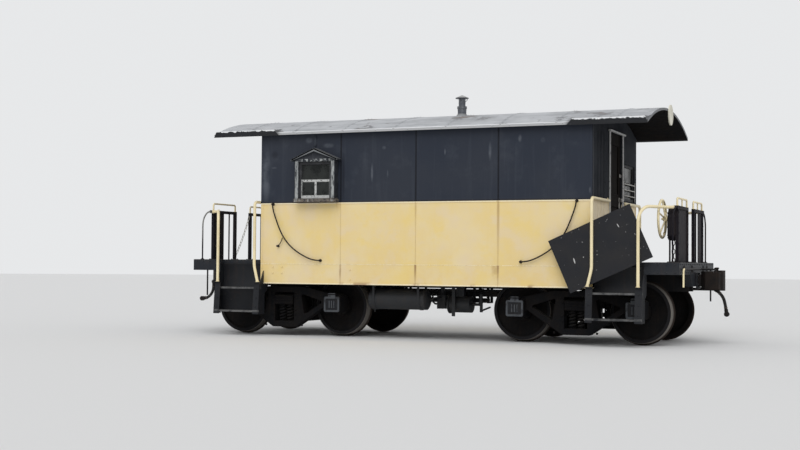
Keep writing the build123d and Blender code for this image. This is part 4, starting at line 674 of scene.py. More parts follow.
def spring_plank(end, centre):
    """Channel across the truck under the springs, riveted to both side frames' seats."""
    mesh = bmesh.new()
    low = SPRING_LOW - 0.016
    slab(mesh, about(centre, PLANK_HALF), (-PLANK_END, PLANK_END), (low, low + 0.012), 0.003)
    for step in (-1, 1):
        x = centre + step * PLANK_HALF
        slab(mesh, (x, x - step * 0.012), (-PLANK_END, PLANK_END), (low, SPRING_LOW + 0.052), 0.003)
        for y in PLANK_RIVETS:
            rivet(mesh, (x, y, low + 0.040), (step, 0, 0), 0.012)
    piece(f"spring_plank_{end}", mesh, truck_iron, f"truck_{end}")


for end, way in ENDS.items():
    spring_plank(end, way * TRUCK_CENTRE)
    give(truck_iron, f"side_frames_{end}", f"bolster_{end}", f"brake_beams_{end}")
    give(lid_iron, f"journal_lids_{end}")
    truck_hardware(end, way * TRUCK_CENTRE)
    spring_stacks(end, way * TRUCK_CENTRE)

# Platforms and steps.
# Steel deck on the end sill and side beams, with boards laid across; riveted step sides with pressed treads.
# Paint is black with a blue cast; the tread noses are pale, partly from wear and partly as a painted
# highlight.
PLATFORM_BLACK = (0.017, 0.020, 0.026, 1)
PLATFORM_DULL = (0.034, 0.034, 0.036, 1)
PLATFORM_WORN = (0.085, 0.080, 0.075, 1)
STEP_BLACK = (0.012, 0.0135, 0.017, 1)
NOSE_HIGHLIGHT_AND_WEAR = (0.13, 0.13, 0.13, 1)
DECK_BOARD_TONE = (0.045, 0.043, 0.042, 1)
DECK_BOARD_GREY = (0.10, 0.096, 0.09, 1)
BODY_END = 2.527
BODY_SIDE = 1.278
PLATFORM_END = 3.690
STEP_WELL_X = 3.232
STEP_WELL_Y = 1.150
DECK_TOP = 1.125
DECK_BOARD = 0.128
# Lower and upper tread: height, front edge, back edge.
TREADS = ((0.377, 1.438, 1.250), (0.720, 1.386, 1.150))
STEP_FROM = 2.476
STEP_TO = 3.226
# Bolts through the leaning step sides: height, distance from the middle.
STEP_BOLTS = ((0.43, 1.4442), (0.56, 1.4335), (0.70, 1.4216))
FLAT_HEAD = ((1.0, 0.0), (0.92, 0.25), (0.60, 0.42), (0.06, 0.48))
BRACKET_PLACES = (0.42, 0.72, 0.98)


def step_layers(tree):
    """Pale noses along the front of both treads, partly rubbed wear and partly a painted highlight."""
    uneven = mask(noise(spot(tree), 9.0, 4.0), 0.30, 0.62)
    layers = []
    for top, front, _ in TREADS:
        nose = near(abs(along(tree, "Y")), front - 0.006, 0.012, 0.006)
        layers.append((nose * near(along(tree, "Z"), top - 0.010, 0.014) * uneven, NOSE_HIGHLIGHT_AND_WEAR))
    return layers


platform_paint = weathered(
    "platform_paint", PLATFORM_BLACK, PLATFORM_DULL, PLATFORM_WORN, roughness=0.52, scale=2.5, runs=0.2,
    run_colour=FRAME_RUST, flakes=0.70, flake_scale=14, wear=0.5, dust=0.35, gloss=0.2,
)
step_paint = weathered(
    "step_paint", STEP_BLACK, PLATFORM_DULL, PLATFORM_WORN, roughness=0.5, scale=2.5, broad=0.3, runs=0.12,
    run_colour=FRAME_RUST, flakes=0.71, flake_scale=14, wear=0.5, dust=0.3, layers=step_layers, gloss=0.2,
)
deck_wood = weathered(
    "deck_wood", DECK_BOARD_TONE, DECK_BOARD_GREY, DECK_BOARD_GREY, roughness=0.8, scale=4, flakes=0.66,
    flake_scale=22, wear=0.6, dust=0.4, grain=0.7,
)
for end in ENDS:
    give(platform_paint, f"platform_{end}")
    give(step_paint, f"steps_{end}")


def deck_boards(end):
    """Thin boards laid across one platform, shorter between the step wells."""
    mesh = bmesh.new()
    way = ENDS[end]
    x = BODY_END + 0.034
    while x < PLATFORM_END - 0.02:
        far_x = min(x + DECK_BOARD - 0.005, PLATFORM_END - 0.004)
        half = BODY_SIDE - 0.004 if x > STEP_WELL_X + 0.005 else STEP_WELL_Y - 0.006
        if x < STEP_WELL_X + 0.005 < far_x:
            far_x = STEP_WELL_X
        top = DECK_TOP + random.uniform(0.003, 0.0045)
        slab(mesh, (way * x, way * far_x), (-half, half), (DECK_TOP - 0.002, top), 0.0015)
        x = far_x + 0.005
    piece(f"deck_boards_{end}", mesh, deck_wood, "root")


def tread_lugs(end):
    """Raised lozenges pressed in all four treads of one end, and the bolts that hold the step sides."""
    mesh = bmesh.new()
    way = ENDS[end]
    for side in (-1, 1):
        for top, front, back in TREADS:
            depth = front - back
            rows = int(depth / 0.042)
            for row in range(rows):
                y = side * (back + (row + 0.6) * depth / rows)
                for column in range(17):
                    x = way * (STEP_FROM + 0.045 + (column + 0.5 * (row % 2)) * 0.040)
                    lean = math.radians(40 if (row + column) % 2 else -40)
                    place = Matrix.Translation((x, y, top)) @ Matrix.Rotation(lean, 4, "Z")
                    slab(mesh, about(0, 0.013), about(0, 0.0035), (-0.001, 0.0022), 0.001, place)
        for x in (STEP_FROM + 0.042, STEP_TO - 0.042):
            for z, y in STEP_BOLTS:
                stud(mesh, (way * x, side * y, z), (0, side, 0.08), 0.011, FLAT_HEAD, 10)
    piece(f"tread_lugs_{end}", mesh, step_paint, "root")


def sill_rivets(end):
    """Rivets along the end sill and side beams, and the striker frame round the coupler's opening."""
    mesh = bmesh.new()
    way = ENDS[end]
    for n in range(-9, 10):
        y = n * 0.135
        if abs(y) > 0.15 and min(abs(abs(y) - bracket) for bracket in BRACKET_PLACES) > 0.03:
            rivet(mesh, (way * PLATFORM_END, way * y, 0.992), (way, 0, 0), 0.010)
        rivet(mesh, (way * PLATFORM_END, way * y, 1.103), (way, 0, 0), 0.010)
    for side in (-1, 1):
        for n in range(4):
            for z in (1.098, 0.990):
                x = way * (STEP_WELL_X + 0.065 + n * 0.112)
                rivet(mesh, (x, side * BODY_SIDE, z), (0, side, 0), 0.010)
        bar = (way * PLATFORM_END, way * (PLATFORM_END + 0.020))
        slab(mesh, bar, (side * 0.082, side * 0.130), (0.775, 0.990), 0.004)
    slab(mesh, (way * PLATFORM_END, way * (PLATFORM_END + 0.024)), about(0, 0.130), (0.770, 0.802), 0.004)
    for y in (-0.105, 0.105):
        for z in (0.83, 0.95):
            nut(mesh, (way * (PLATFORM_END + 0.020), y, z), (way, 0, 0), 0.013)
    piece(f"sill_rivets_{end}", mesh, platform_paint, "root")


for end in ENDS:
    deck_boards(end)
    tread_lugs(end)
    sill_rivets(end)

# Couplers and cut levers.
# Cast steel automatic couplers, rusty brown, with a knuckle on its pin. A bent bar, held by forged brackets,
# lifts the lock from each side, and its near handle at end B is painted cream.
COUPLER_IRON = (0.011, 0.010, 0.010, 1)
COUPLER_RUST = (0.026, 0.018, 0.014, 1)
COUPLER_BARE = (0.060, 0.046, 0.038, 1)
HANDRAIL_CREAM = (0.93, 0.81, 0.52, 1)
PIN_X = 3.935
PIN_Y = 0.122
PIN_TOP = 1.045
PIN_BOTTOM = 0.725
PIN_HEAD = ((0.022, 0), (0.031, 0.002), (0.031, 0.014), (0.024, 0.020), (0.004, 0.021))
PIN_FOOT = ((0.022, 0), (0.017, 0.006), (0.004, 0.007))
EYE_Z = 1.034
LEVER_BRACKETS = (-0.980, -0.420, 0.420, 0.720)


def lever_layers(tree):
    """Cream on the near hanging handle at end B."""
    return [(mask(along(tree, "X"), 3.6, 3.61) * mask(along(tree, "Y"), -1.150, -1.156), HANDRAIL_CREAM)]


coupler_iron = weathered(
    "coupler_iron", COUPLER_IRON, COUPLER_RUST, COUPLER_BARE, roughness=0.65, scale=7, runs=0.2, flakes=0.68,
    flake_scale=25, wear=0.5, edge=0.008, dust=0.3, grain=0.7, gloss=0.2,
)
lever_paint = weathered(
    "lever_paint", FRAME_BLACK, FRAME_BROWN, FRAME_RUST, roughness=0.55, scale=5, flakes=0.71, flake_scale=40,
    wear=0.3, dust=0.2, edge=0.002, layers=lever_layers, gloss=0.2,
)
give(coupler_iron, "coupler_a", "coupler_b", "gladhand_a", "gladhand_b")
give(lever_paint, "uncoupling_levers")
give(frame_paint, "angle_cocks")


def coupler_fittings(end):
    """Head and foot of the knuckle pin, the lock lifter's eye, and the lever's bracket plates and bolts."""
    mesh = bmesh.new()
    way = ENDS[end]
    turned(mesh, (way * PIN_X, way * PIN_Y, PIN_TOP), UP, PIN_HEAD, 20)
    turned(mesh, (way * PIN_X, way * PIN_Y, PIN_BOTTOM), DOWN, PIN_FOOT, 16)
    eye = [(way * PIN_X + 0.020 * c, 0, EYE_Z + 0.024 * s) for c, s in compass(20)]
    round_bar(mesh, eye, 0.006, 8, closed=True)
    for y in LEVER_BRACKETS:
        for z in (1.008, 1.072):
            nut(mesh, (way * PLATFORM_END, way * y, z), (way, 0, 0), 0.011)
        slab(mesh, (way * PLATFORM_END, way * (PLATFORM_END + 0.008)), about(way * y, 0.022), (0.990, 1.090))
    piece(f"coupler_fittings_{end}", mesh, coupler_iron, "root")


for end in ENDS:
    coupler_fittings(end)

# Air tank, brake cylinder and pipes.
# Black steel reservoir with a drain cock, the brake cylinder on its bracket, and the pipes between them.
# Flat pull rods run beside the centre sill in bent hangers.
TANK_BLACK = (0.020, 0.022, 0.025, 1)
TANK_Y = -0.950
TANK_Z = 0.570
VALVE_Y = -0.615
PIPE_Y = -0.215
PIPE_Z = 0.700
# Train pipe, its drop to the valve, valve to tank, valve to cylinder: radius, sides, route.
PIPES = (
    (0.017, 12, (
        (-3.50, -0.30, 0.774), (-3.30, -0.30, 0.774), (-3.20, -0.27, 0.77), (-1.45, PIPE_Y, 0.770),
        (-1.30, PIPE_Y, PIPE_Z), (0.80, PIPE_Y, PIPE_Z), (0.92, PIPE_Y + 0.03, PIPE_Z), (1.02, 0.22, PIPE_Z),
        (1.14, 0.30, PIPE_Z), (1.40, 0.30, 0.758), (3.50, 0.30, 0.758),
    )),
    (0.014, 10, (
        (-0.02, PIPE_Y, PIPE_Z), (-0.02, -0.50, PIPE_Z), (-0.02, -0.59, 0.690), (-0.025, VALVE_Y, 0.650),
        (-0.028, VALVE_Y, 0.580), (-0.020, VALVE_Y, 0.530), (0.010, VALVE_Y, 0.505), (0.066, VALVE_Y, 0.500),
    )),
    (0.010, 10, (
        (0.13, -0.66, 0.60), (0.13, -0.76, 0.60), (0.125, -0.88, 0.600), (0.115, -0.94, 0.595),
        (0.095, TANK_Y, 0.578), (0.070, TANK_Y, TANK_Z),
    )),
    (0.010, 10, (
        (0.13, -0.60, 0.634), (0.13, -0.60, 0.675), (0.16, -0.60, 0.695), (0.30, -0.60, 0.695),
        (0.34, -0.61, 0.680), (0.355, -0.62, 0.640), (0.355, -0.62, 0.618),
    )),
)
COUPLING = ((0.017, 0), (0.024, 0.004), (0.024, 0.044), (0.017, 0.048))
TANK_NUT = ((0.020, 0), (0.022, 0.002), (0.022, 0.012), (0.018, 0.014))
VALVE_NUT = ((0.020, 0), (0.022, 0.002), (0.022, 0.014), (0.018, 0.016))
DRAIN_COCK = ((0.016, 0), (0.016, 0.018), (0.009, 0.020), (0.009, 0.040), (0.012, 0.042), (0.004, 0.048))
CLEVIS_PIN = ((0.014, 0), (0.014, 0.006), (0.009, 0.007), (0.009, 0.057), (0.014, 0.058), (0.014, 0.064))
# Flat pull rods: across, height, from, to, depth of the bar.
FLAT_RODS = (
    (-0.300, 0.648, -0.90, 0.90, 0.076), (-0.385, 0.558, -0.90, 0.72, 0.070),
    (0.300, 0.640, -0.90, 0.90, 0.060),
)
ROD_HANGERS = (-0.78, 0.55)
HANGER_REACH = {-1: 0.430, 1: 0.345}

tank_paint = weathered(
    "tank_paint", TANK_BLACK, FRAME_BLACK, FRAME_RUST, roughness=0.55, scale=3, flakes=0.71, wear=0.3,
    dust=0.5, gloss=0.35,
)
give(tank_paint, "air_tank", "brake_cylinder")


def air_pipes():
    """Train pipe under the floor, with branches to the valve and the tank, and unions where they join."""
    mesh = bmesh.new()
    for radius, sides, route in PIPES:
        round_bar(mesh, route, radius, sides)
    for x in (-0.90, -0.02, 0.60):
        turned(mesh, (x - 0.024, PIPE_Y, PIPE_Z), (1, 0, 0), COUPLING, 8)
    for x in (0.062, 0.074):
        turned(mesh, (x, TANK_Y, TANK_Z), (1, 0, 0), TANK_NUT, 6)
    turned(mesh, (0.052, VALVE_Y, 0.500), (1, 0, 0), VALVE_NUT, 6)
    turned(mesh, (-0.80, TANK_Y, TANK_Z - 0.145), DOWN, DRAIN_COCK, 8)
    piece("air_pipes", mesh, tank_paint, "root", 50)


def brake_rods():
    """Flat pull rods with clevises beside the centre sill, in hangers bolted to its web."""
    mesh = bmesh.new()
    for y, z, low_x, high_x, deep in FLAT_RODS:
        slab(mesh, (low_x, high_x), about(y, 0.008), about(z, deep / 2), 0.003)
        for x in (low_x, high_x):
            for leaf in (y - 0.017, y + 0.017):
                slab(mesh, about(x, 0.050), about(leaf, 0.005), about(z, 0.028), 0.003)
            turned(mesh, (x, y - 0.032, z), (0, 1, 0), CLEVIS_PIN, 10)
    for x in ROD_HANGERS:
        for side, reach in HANGER_REACH.items():
            for inner, outer, low, high in (
                (0.167, 0.185, 0.512, 0.790), (0.167, reach, 0.500, 0.512),
                (reach - 0.010, reach, 0.500, 0.770),
            ):
                slab(mesh, about(x, 0.022), (side * inner, side * outer), (low, high))
            for z in (0.745, 0.775):
                nut(mesh, (x, side * 0.185, z), (0, side, 0), 0.010)
    piece("brake_rods", mesh, frame_paint, "root", 50)


air_pipes()
brake_rods()

# Cabin sides.
# Steel sheet on a riveted frame, cream-yellow below the belt and blue-black above, with a rolled sill below.
# Sheets are welded edge to edge, and an angle strip covers each corner; rain has drawn rust below the seams.
SIDES = {"near": -1, "far": 1}
YELLOW = (0.830, 0.645, 0.295, 1)
YELLOW_PALE = (0.830, 0.690, 0.420, 1)
YELLOW_WARM = (0.790, 0.570, 0.200, 1)
YELLOW_EDGE_HIGHLIGHT = (0.960, 0.870, 0.640, 1)
YELLOW_FADED = (0.800, 0.650, 0.430, 1)
YELLOW_DEEP = (0.850, 0.640, 0.200, 1)
YELLOW_RUST = (0.300, 0.150, 0.055, 1)
YELLOW_STAIN = (0.520, 0.350, 0.140, 1)
CABIN_BLACK = (0.026, 0.032, 0.047, 1)
CABIN_DULL = (0.034, 0.039, 0.052, 1)
CABIN_SCUFF = (0.100, 0.112, 0.134, 1)
CABIN_WORN = (0.088, 0.098, 0.118, 1)
CABIN_STAIN = (0.016, 0.018, 0.026, 1)
CABIN_JOINT = (0.009, 0.010, 0.014, 1)
CABIN_BELT_SHADOW = (0.020, 0.017, 0.015, 1)
INSIDE_GREEN = (0.230, 0.260, 0.190, 1)
SIDE_BOTTOM = 0.773
SIDE_SEAM = 1.065
BELT = 1.966
EAVE = 2.970
INNER_SIDE = 1.2181
INNER_END = 2.4671
CORNER_STRIP = 0.034
SHEET_SEAMS = (-1.211, -0.033, 1.199)
SEAM_BEAD = 0.005
# Stains drawn down the yellow: place, top, length, half width, strength.
YELLOW_RUNS = (
    (1.199, 1.966, 0.95, 0.022, 0.80), (-0.033, 1.966, 0.45, 0.018, 0.45), (1.150, 1.060, 0.26, 0.050, 0.75),
    (-1.246, 1.966, 0.30, 0.030, 0.45),
)
SILL_BOLTS = (
    (-2.317, 1.020), (-2.166, 1.021), (-2.316, 0.931), (-2.165, 0.932), (-1.053, 0.987), (-1.051, 0.843),
)
# Soft patches above the belt: centre X and Z, half width, half height.
PALE_SMUDGES = (
    (1.509, 2.819, 0.035, 0.070), (1.837, 2.782, 0.045, 0.055), (-1.735, 2.885, 0.075, 0.060),
    (-1.630, 2.860, 0.018, 0.110), (-2.317, 2.491, 0.060, 0.018), (-1.42, 2.80, 0.11, 0.050),
    (-2.45, 2.40, 0.10, 0.50), (-0.716, 2.390, 0.024, 0.170), (-0.531, 2.743, 0.040, 0.035),
    (-0.471, 2.368, 0.016, 0.070), (0.407, 2.660, 0.014, 0.060), (1.075, 2.650, 0.028, 0.160),
    (2.494, 2.090, 0.020, 0.060),
)
DARK_SMUDGES = ((-2.303, 2.684, 0.085, 0.080), (-1.17, 2.35, 0.030, 0.45))


def drawn_down(x, z, place, top, fall, half, soft):
    """A stain that rain has drawn down the paint from a place."""
    return near(x, place, half, soft) * mask(z, top - fall, top) * mask(z, top + 0.004, top)


def inside_layer(tree):
    """The cabin's inner faces, painted pale green."""
    side = mask(abs(along(tree, "Y")), INNER_SIDE + 0.002, INNER_SIDE + 0.001)
    return side * mask(abs(along(tree, "X")), INNER_END + 0.002, INNER_END + 0.001), INSIDE_GREEN


def yellow_layers(tree):
    """Tones of the lower side: warmer low down, painted highlight lines along the belt edge, seam and foot
    (the foot also worn pale), drawn rust and the sill's stain.
    """
    x, z, where = along(tree, "X"), along(tree, "Z"), spot(tree)
    cloudy = noise(where, 2.6, 4.0, 0.6)
    speck = noise(where, 60.0, 4.0, 0.7)
    blotches = noise(mapped(where, Location=(4, 0, 9)), 3.0, 3.0, 0.6)
    strokes = mask(noise(mapped(where, Scale=(1.3, 1, 7)), 1.6, 4.0, 0.6), 0.44, 0.72)
    # Painted highlights: pale lines where the belt edge, the seam and the foot catch the light; the foot is
    # also worn.
    upper_edge = mask(z, BELT - 0.022, BELT - 0.014) * mask(speck, 0.32, 0.5)
    foot = mask(z, SIDE_BOTTOM + 0.024, SIDE_BOTTOM + 0.016) * mask(speck, 0.3, 0.5)
    seam = near(z, SIDE_SEAM + 0.003, 0.002, 0.006) * mask(speck, 0.42, 0.56)
    layers = [
        (mask(z, 1.55, 0.85) * mask(cloudy, 0.38, 0.62) * 0.45, YELLOW_WARM),
        (mask(x, 0.4, 2.5) * mask(z, 1.9, 0.9) * 0.40, YELLOW_WARM),
        (mask(blotches, 0.50, 0.68) * 0.60, YELLOW_FADED),
        (mask(blotches, 0.50, 0.32) * 0.50, YELLOW_DEEP),
        (strokes * 0.14, YELLOW_FADED),
        (upper_edge * 0.8, YELLOW_EDGE_HIGHLIGHT),
        (foot * 0.8, YELLOW_EDGE_HIGHLIGHT),
        (seam * 0.75, YELLOW_EDGE_HIGHLIGHT),
    ]
    for place in SHEET_SEAMS:
        layers.append((near(x, place, 0.003, 0.008) * 0.28, YELLOW_STAIN))
        run = drawn_down(x, z, place, SIDE_SEAM, 0.30, 0.008, 0.016)
        layers.append((run * mask(cloudy, 0.30, 0.55) * 0.75, YELLOW_RUST))
    for place, top, fall, half, share in YELLOW_RUNS:
        run = drawn_down(x, z, place, top, fall, half * 0.3, half)
        layers.append((run * mask(cloudy, 0.34, 0.56) * share, YELLOW_STAIN))
    under_sill = near(x, -1.246, 0.028, 0.020) * mask(z, 1.80, BELT)
    low_rust = mask(z, 0.83, 0.775) * mask(cloudy, 0.54, 0.66)
    return layers + [(under_sill * 0.40, YELLOW_STAIN), (low_rust * 0.7, YELLOW_RUST), inside_layer(tree)]


def smudge(x, z, centre_x, centre_z, wide, high):
    """A soft round patch on the side."""
    return mask(length((x - centre_x) / wide, (z - centre_z) / high), 1.0, 0.2)


def black_layers(tree):
    """Tones of the upper side: smudges, darker sheet joints, chalky bloom, and a painted shadow along its
    foot above the belt.
    """
    x, z = along(tree, "X"), along(tree, "Z")
    cloudy = noise(spot(tree), 3.4, 5.0, 0.62)
    layers = [(mask(cloudy, 0.52, 0.74) * 0.16, CABIN_WORN)]
    for patch in PALE_SMUDGES:
        layers.append((smudge(x, z, *patch) * mask(cloudy, 0.30, 0.60) * 0.9, CABIN_SCUFF))
    for patch in DARK_SMUDGES:
        layers.append((smudge(x, z, *patch) * 0.6, CABIN_STAIN))
    for place in SHEET_SEAMS:
        layers.append((near(x, place, 0.006, 0.012) * 0.85, CABIN_JOINT))
    # A painted shadow darkens the narrow band just above the belt.
    return layers + [(mask(z, BELT + 0.030, BELT) * 0.7, CABIN_BELT_SHADOW), inside_layer(tree)]


yellow_paint = weathered(
    "side_yellow", YELLOW, YELLOW_PALE, YELLOW_RUST, roughness=0.48, scale=0.8, broad=0.8, runs=0.10,
    run_colour=YELLOW_WARM, flakes=0.745, flake_scale=22, wear=0.25, edge=0.004, dust=0.1, grain=0.12,
    layers=yellow_layers,
)
black_paint = weathered(
    "side_black", CABIN_BLACK, CABIN_DULL, CABIN_WORN, roughness=0.5, scale=0.9, broad=0.7, runs=0.10,
    run_colour=CABIN_WORN, flakes=0.74, flake_scale=26, wear=0.4, edge=0.004, dust=0.2, grain=0.14,
    layers=black_layers, gloss=0.15,
)
give(yellow_paint, "side_sills", "side_lower_near", "side_lower_far")
give(black_paint, "side_upper_near", "side_upper_far")


def strip(mesh, way, x, z, proud, ease=0.0015):
    """A thin strip or bead standing proud of one side's face."""
    slab(mesh, x, (way * (BODY_SIDE - 0.001), way * (BODY_SIDE + proud)), z, ease)


def side_trim(side):
    """Belt and foot strips, corner strips, weld beads and the sill's bolts of one side, below the belt."""
    mesh = bmesh.new()
    way = SIDES[side]
    between = (SIDE_BOTTOM + 0.018, BELT - 0.020)
    strip(mesh, way, about(0, BODY_END), (BELT - 0.020, BELT - 0.001), 0.007, 0.002)
    strip(mesh, way, about(0, BODY_END), (SIDE_BOTTOM + 0.001, SIDE_BOTTOM + 0.018), 0.006, 0.002)
    for end in (-1, 1):
        strip(mesh, way, (end * BODY_END, end * (BODY_END - CORNER_STRIP)), between, 0.004, 0.002)
    for x in SHEET_SEAMS:
        strip(mesh, way, about(x, SEAM_BEAD / 2), between, 0.0018)
    strip(mesh, way, about(0, BODY_END - CORNER_STRIP), about(SIDE_SEAM, 0.0025), 0.0016, 0.0012)
    for x, z in SILL_BOLTS:
        rivet(mesh, (-way * x, way * BODY_SIDE, z), (0, way, 0), 0.0125)
    piece(f"side_trim_{side}", mesh, yellow_paint, "root")


def upper_trim(side):
    """Weld beads and corner strips above the belt, and a short upright bar over the window in two clips."""
    mesh = bmesh.new()
    way = SIDES[side]
    for x in SHEET_SEAMS:
        strip(mesh, way, about(x, SEAM_BEAD / 2), (BELT + 0.006, EAVE - 0.02), 0.0022)
    for end in (-1, 1):
        corner = (end * BODY_END, end * (BODY_END - CORNER_STRIP))
        strip(mesh, way, corner, (BELT + 0.002, EAVE - 0.02), 0.003)
    strip(mesh, way, (-1.638, -1.624), (2.757, 2.952), 0.012, 0.004)
    for z in (2.80, 2.91):
        strip(mesh, way, (-1.655, -1.607), (z, z + 0.018), 0.015, 0.002)
    piece(f"upper_trim_{side}", mesh, black_paint, "root")


for side in SIDES:
    side_trim(side)
    upper_trim(side)

# End walls and doors.
# Steel end sheets with pressed ribs, cream up to the belt and dark above, one window beside the door.
# The doors are panelled and dark brown, with pale drip moulding and jamb strips worn to primer.
END_DARK = (0.016, 0.018, 0.023, 1)
END_LIGHT = (0.040, 0.043, 0.050, 1)
JAMB_PALE = (0.50, 0.50, 0.50, 1)
END_CREAM_LIT = (0.930, 0.810, 0.600, 1)
DOOR_BROWN = (0.012, 0.010, 0.009, 1)
DOOR_DARK = (0.007, 0.006, 0.006, 1)
DOOR_WORN = (0.040, 0.032, 0.026, 1)
HASP_STEEL = (0.36, 0.35, 0.33, 1)
STEEL_SHADE = (0.20, 0.19, 0.18, 1)
DOOR_HEAD = 2.965
DOOR_FACE = 2.507
DOOR_FOOT = 1.131
DOOR_HEIGHT = 1.828
DOOR_PANELS = ((0.08, 0.44), (0.52, 0.92))
KNOB_Y = 0.294
ROSE = ((0.040, 0), (0.040, 0.003), (0.034, 0.006), (0.026, 0.0065))
KNOB = (
    (0.0245, 0), (0.026, 0.004), (0.026, 0.030), (0.029, 0.036), (0.029, 0.045), (0.018, 0.0495),
    (0.002, 0.050),
)
CORNER_INNER = 1.246
# Window casing: spans across and up.
CASING = (
    ((0.440, 0.480), (1.985, 2.605)), ((1.140, 1.180), (1.985, 2.605)), ((0.480, 1.140), (2.565, 2.605)),
    ((0.480, 1.140), (1.985, 2.025)),
)


def end_layers(tree):
    """Cream below the belt, paler than the side's yellow as painted light on the end face; pale strips beside
    the door and its drip, and the green inner face.
    """
    x, y, z = abs(along(tree, "X")), abs(along(tree, "Y")), along(tree, "Z")
    cloudy = noise(spot(tree), 3.0, 5.0, 0.6)
    peeled = mask(noise(spot(tree), 22.0, 6.0, 0.65), 0.34, 0.44)
    outer = mask(x, BODY_END - 0.003, BODY_END - 0.001)
    proud = mask(x, BODY_END + 0.008, BODY_END + 0.010)
    drip = mask(z, DOOR_HEAD - 0.004, DOOR_HEAD - 0.002)
    return [
        (mask(cloudy, 0.40, 0.66) * outer * 0.5, END_LIGHT),
        # Painted light: the cream is paler than the side's yellow to brighten the end face.
        (mask(z, BELT + 0.002, BELT - 0.002) * outer, END_CREAM_LIT),
        (proud * (near(y, 0.384, 0.026, 0.002) | drip) * peeled, JAMB_PALE),
        inside_layer(tree),
    ]


end_paint = weathered(
    "end_wall_paint", END_DARK, END_LIGHT, END_LIGHT, roughness=0.8, scale=1.4, runs=0.15,
    run_colour=FRAME_BROWN, flakes=0.73, flake_scale=20, wear=0.35, dust=0.25, layers=end_layers, gloss=0.04,
)
door_wood = weathered(
    "door_brown", DOOR_BROWN, DOOR_DARK, DOOR_WORN, roughness=0.8, scale=2.0, runs=0.25, flakes=0.69,
    flake_scale=16, wear=0.5, dust=0.3, grain=0.4, gloss=0.04,
)
hasp_steel = weathered(
    "hasp_steel", HASP_STEEL, STEEL_SHADE, YELLOW_RUST, roughness=0.45, metallic=0.5, scale=18,
    flakes=0.68, wear=0.4, dust=0.2, edge=0.002,
)
give(end_paint, "end_wall_a", "end_wall_b")
give(door_wood, "door_a", "door_b")


def plate(mesh, way, x, y, z, ease=0.002):
    """A plate given as it stands at end B, taken to end A by a half turn of the car."""
    slab(mesh, (way * x[0], way * x[1]), (way * y[0], way * y[1]), z, ease)


def door_mouldings(end):
    """Panel mouldings and kick plate of one door, and the plate's screws."""
    mesh = bmesh.new()
    way = ENDS[end]
    moulding = (DOOR_FACE - 0.010, DOOR_FACE + 0.006)
    for share_low, share_high in DOOR_PANELS:
        low = DOOR_FOOT + share_low * DOOR_HEIGHT
        high = DOOR_FOOT + share_high * DOOR_HEIGHT
        for y in (-0.244, 0.226):
            plate(mesh, way, moulding, (y, y + 0.018), (low, high), 0.003)
        for z in (low, high - 0.018):
            plate(mesh, way, moulding, (-0.244, 0.244), (z, z + 0.018), 0.003)
    kick = (DOOR_FOOT + 0.012, DOOR_FOOT + 0.150)
    plate(mesh, way, (DOOR_FACE - 0.001, DOOR_FACE + 0.002), (-0.335, 0.335), kick, 0.0008)
    for y in (-0.32, -0.16, 0.0, 0.16, 0.32):
        for z in (DOOR_FOOT + 0.026, DOOR_FOOT + 0.136):
            stud(mesh, (way * (DOOR_FACE + 0.0015), way * y, z), (way, 0, 0), 0.005)
    piece(f"door_mouldings_{end}", mesh, door_wood, f"door_leaf_{end}")


def door_hardware(end):
    """Knob with its rose, lock case, and the hasp with its staple, on one door."""
    mesh = bmesh.new()
    way = ENDS[end]
    for profile in (ROSE, KNOB):
        turned(mesh, (way * (DOOR_FACE - 0.0005), way * KNOB_Y, 2.025), (way, 0, 0), profile, 24)
    plate(mesh, way, (DOOR_FACE, DOOR_FACE + 0.006), (0.262, 0.326), (1.885, 1.985))
    rivet(mesh, (way * (DOOR_FACE + 0.006), way * KNOB_Y, 1.935), (way, 0, 0), 0.008)
    plate(mesh, way, (DOOR_FACE + 0.0118, DOOR_FACE + 0.0150), (0.249, 0.334), (2.355, 2.401), 0.0012)
    for y in (0.258, 0.274):
        for z in (2.364, 2.392):
            stud(mesh, (way * (DOOR_FACE + 0.0148), way * y, z), (way, 0, 0), 0.0042)
    bent = compass(13, 0, math.pi / 12)
    staple = [(way * (DOOR_FACE + 0.012 + 0.020 * s), way * 0.315, 2.378 + 0.012 * c) for c, s in bent]
    round_bar(mesh, staple, 0.0035)
    piece(f"door_hardware_{end}", mesh, hasp_steel, f"door_leaf_{end}")


def end_trim(end):
    """Corner strips, belt strip and window casing on one end wall, with rivets down the ribs."""
    mesh = bmesh.new()
    way = ENDS[end]
    skin = BODY_END - 0.001
    for side in (-1, 1):
        corner = (side * CORNER_INNER, side * BODY_SIDE)
        plate(mesh, way, (skin, BODY_END + 0.004), corner, (1.128, 2.985))
        plate(mesh, way, (skin, BODY_END + 0.005), (side * 0.410, corner[0]), (BELT - 0.018, BELT))
    for y, z in CASING:
        plate(mesh, way, (skin, BODY_END + 0.010), y, z, 0.003)
    plate(mesh, way, (skin, BODY_END + 0.026), (0.430, 1.190), (1.968, 1.990), 0.004)
    for n in range(12):
        for y in (-0.610, 1.215):
            rivet(mesh, (way * (BODY_END + 0.0005), way * y, 1.22 + n * 0.145), (way, 0, 0), 0.0085)
    piece(f"end_trim_{end}", mesh, end_paint, "root")


for end in ENDS:
    door_mouldings(end)
    door_hardware(end)
    end_trim(end)

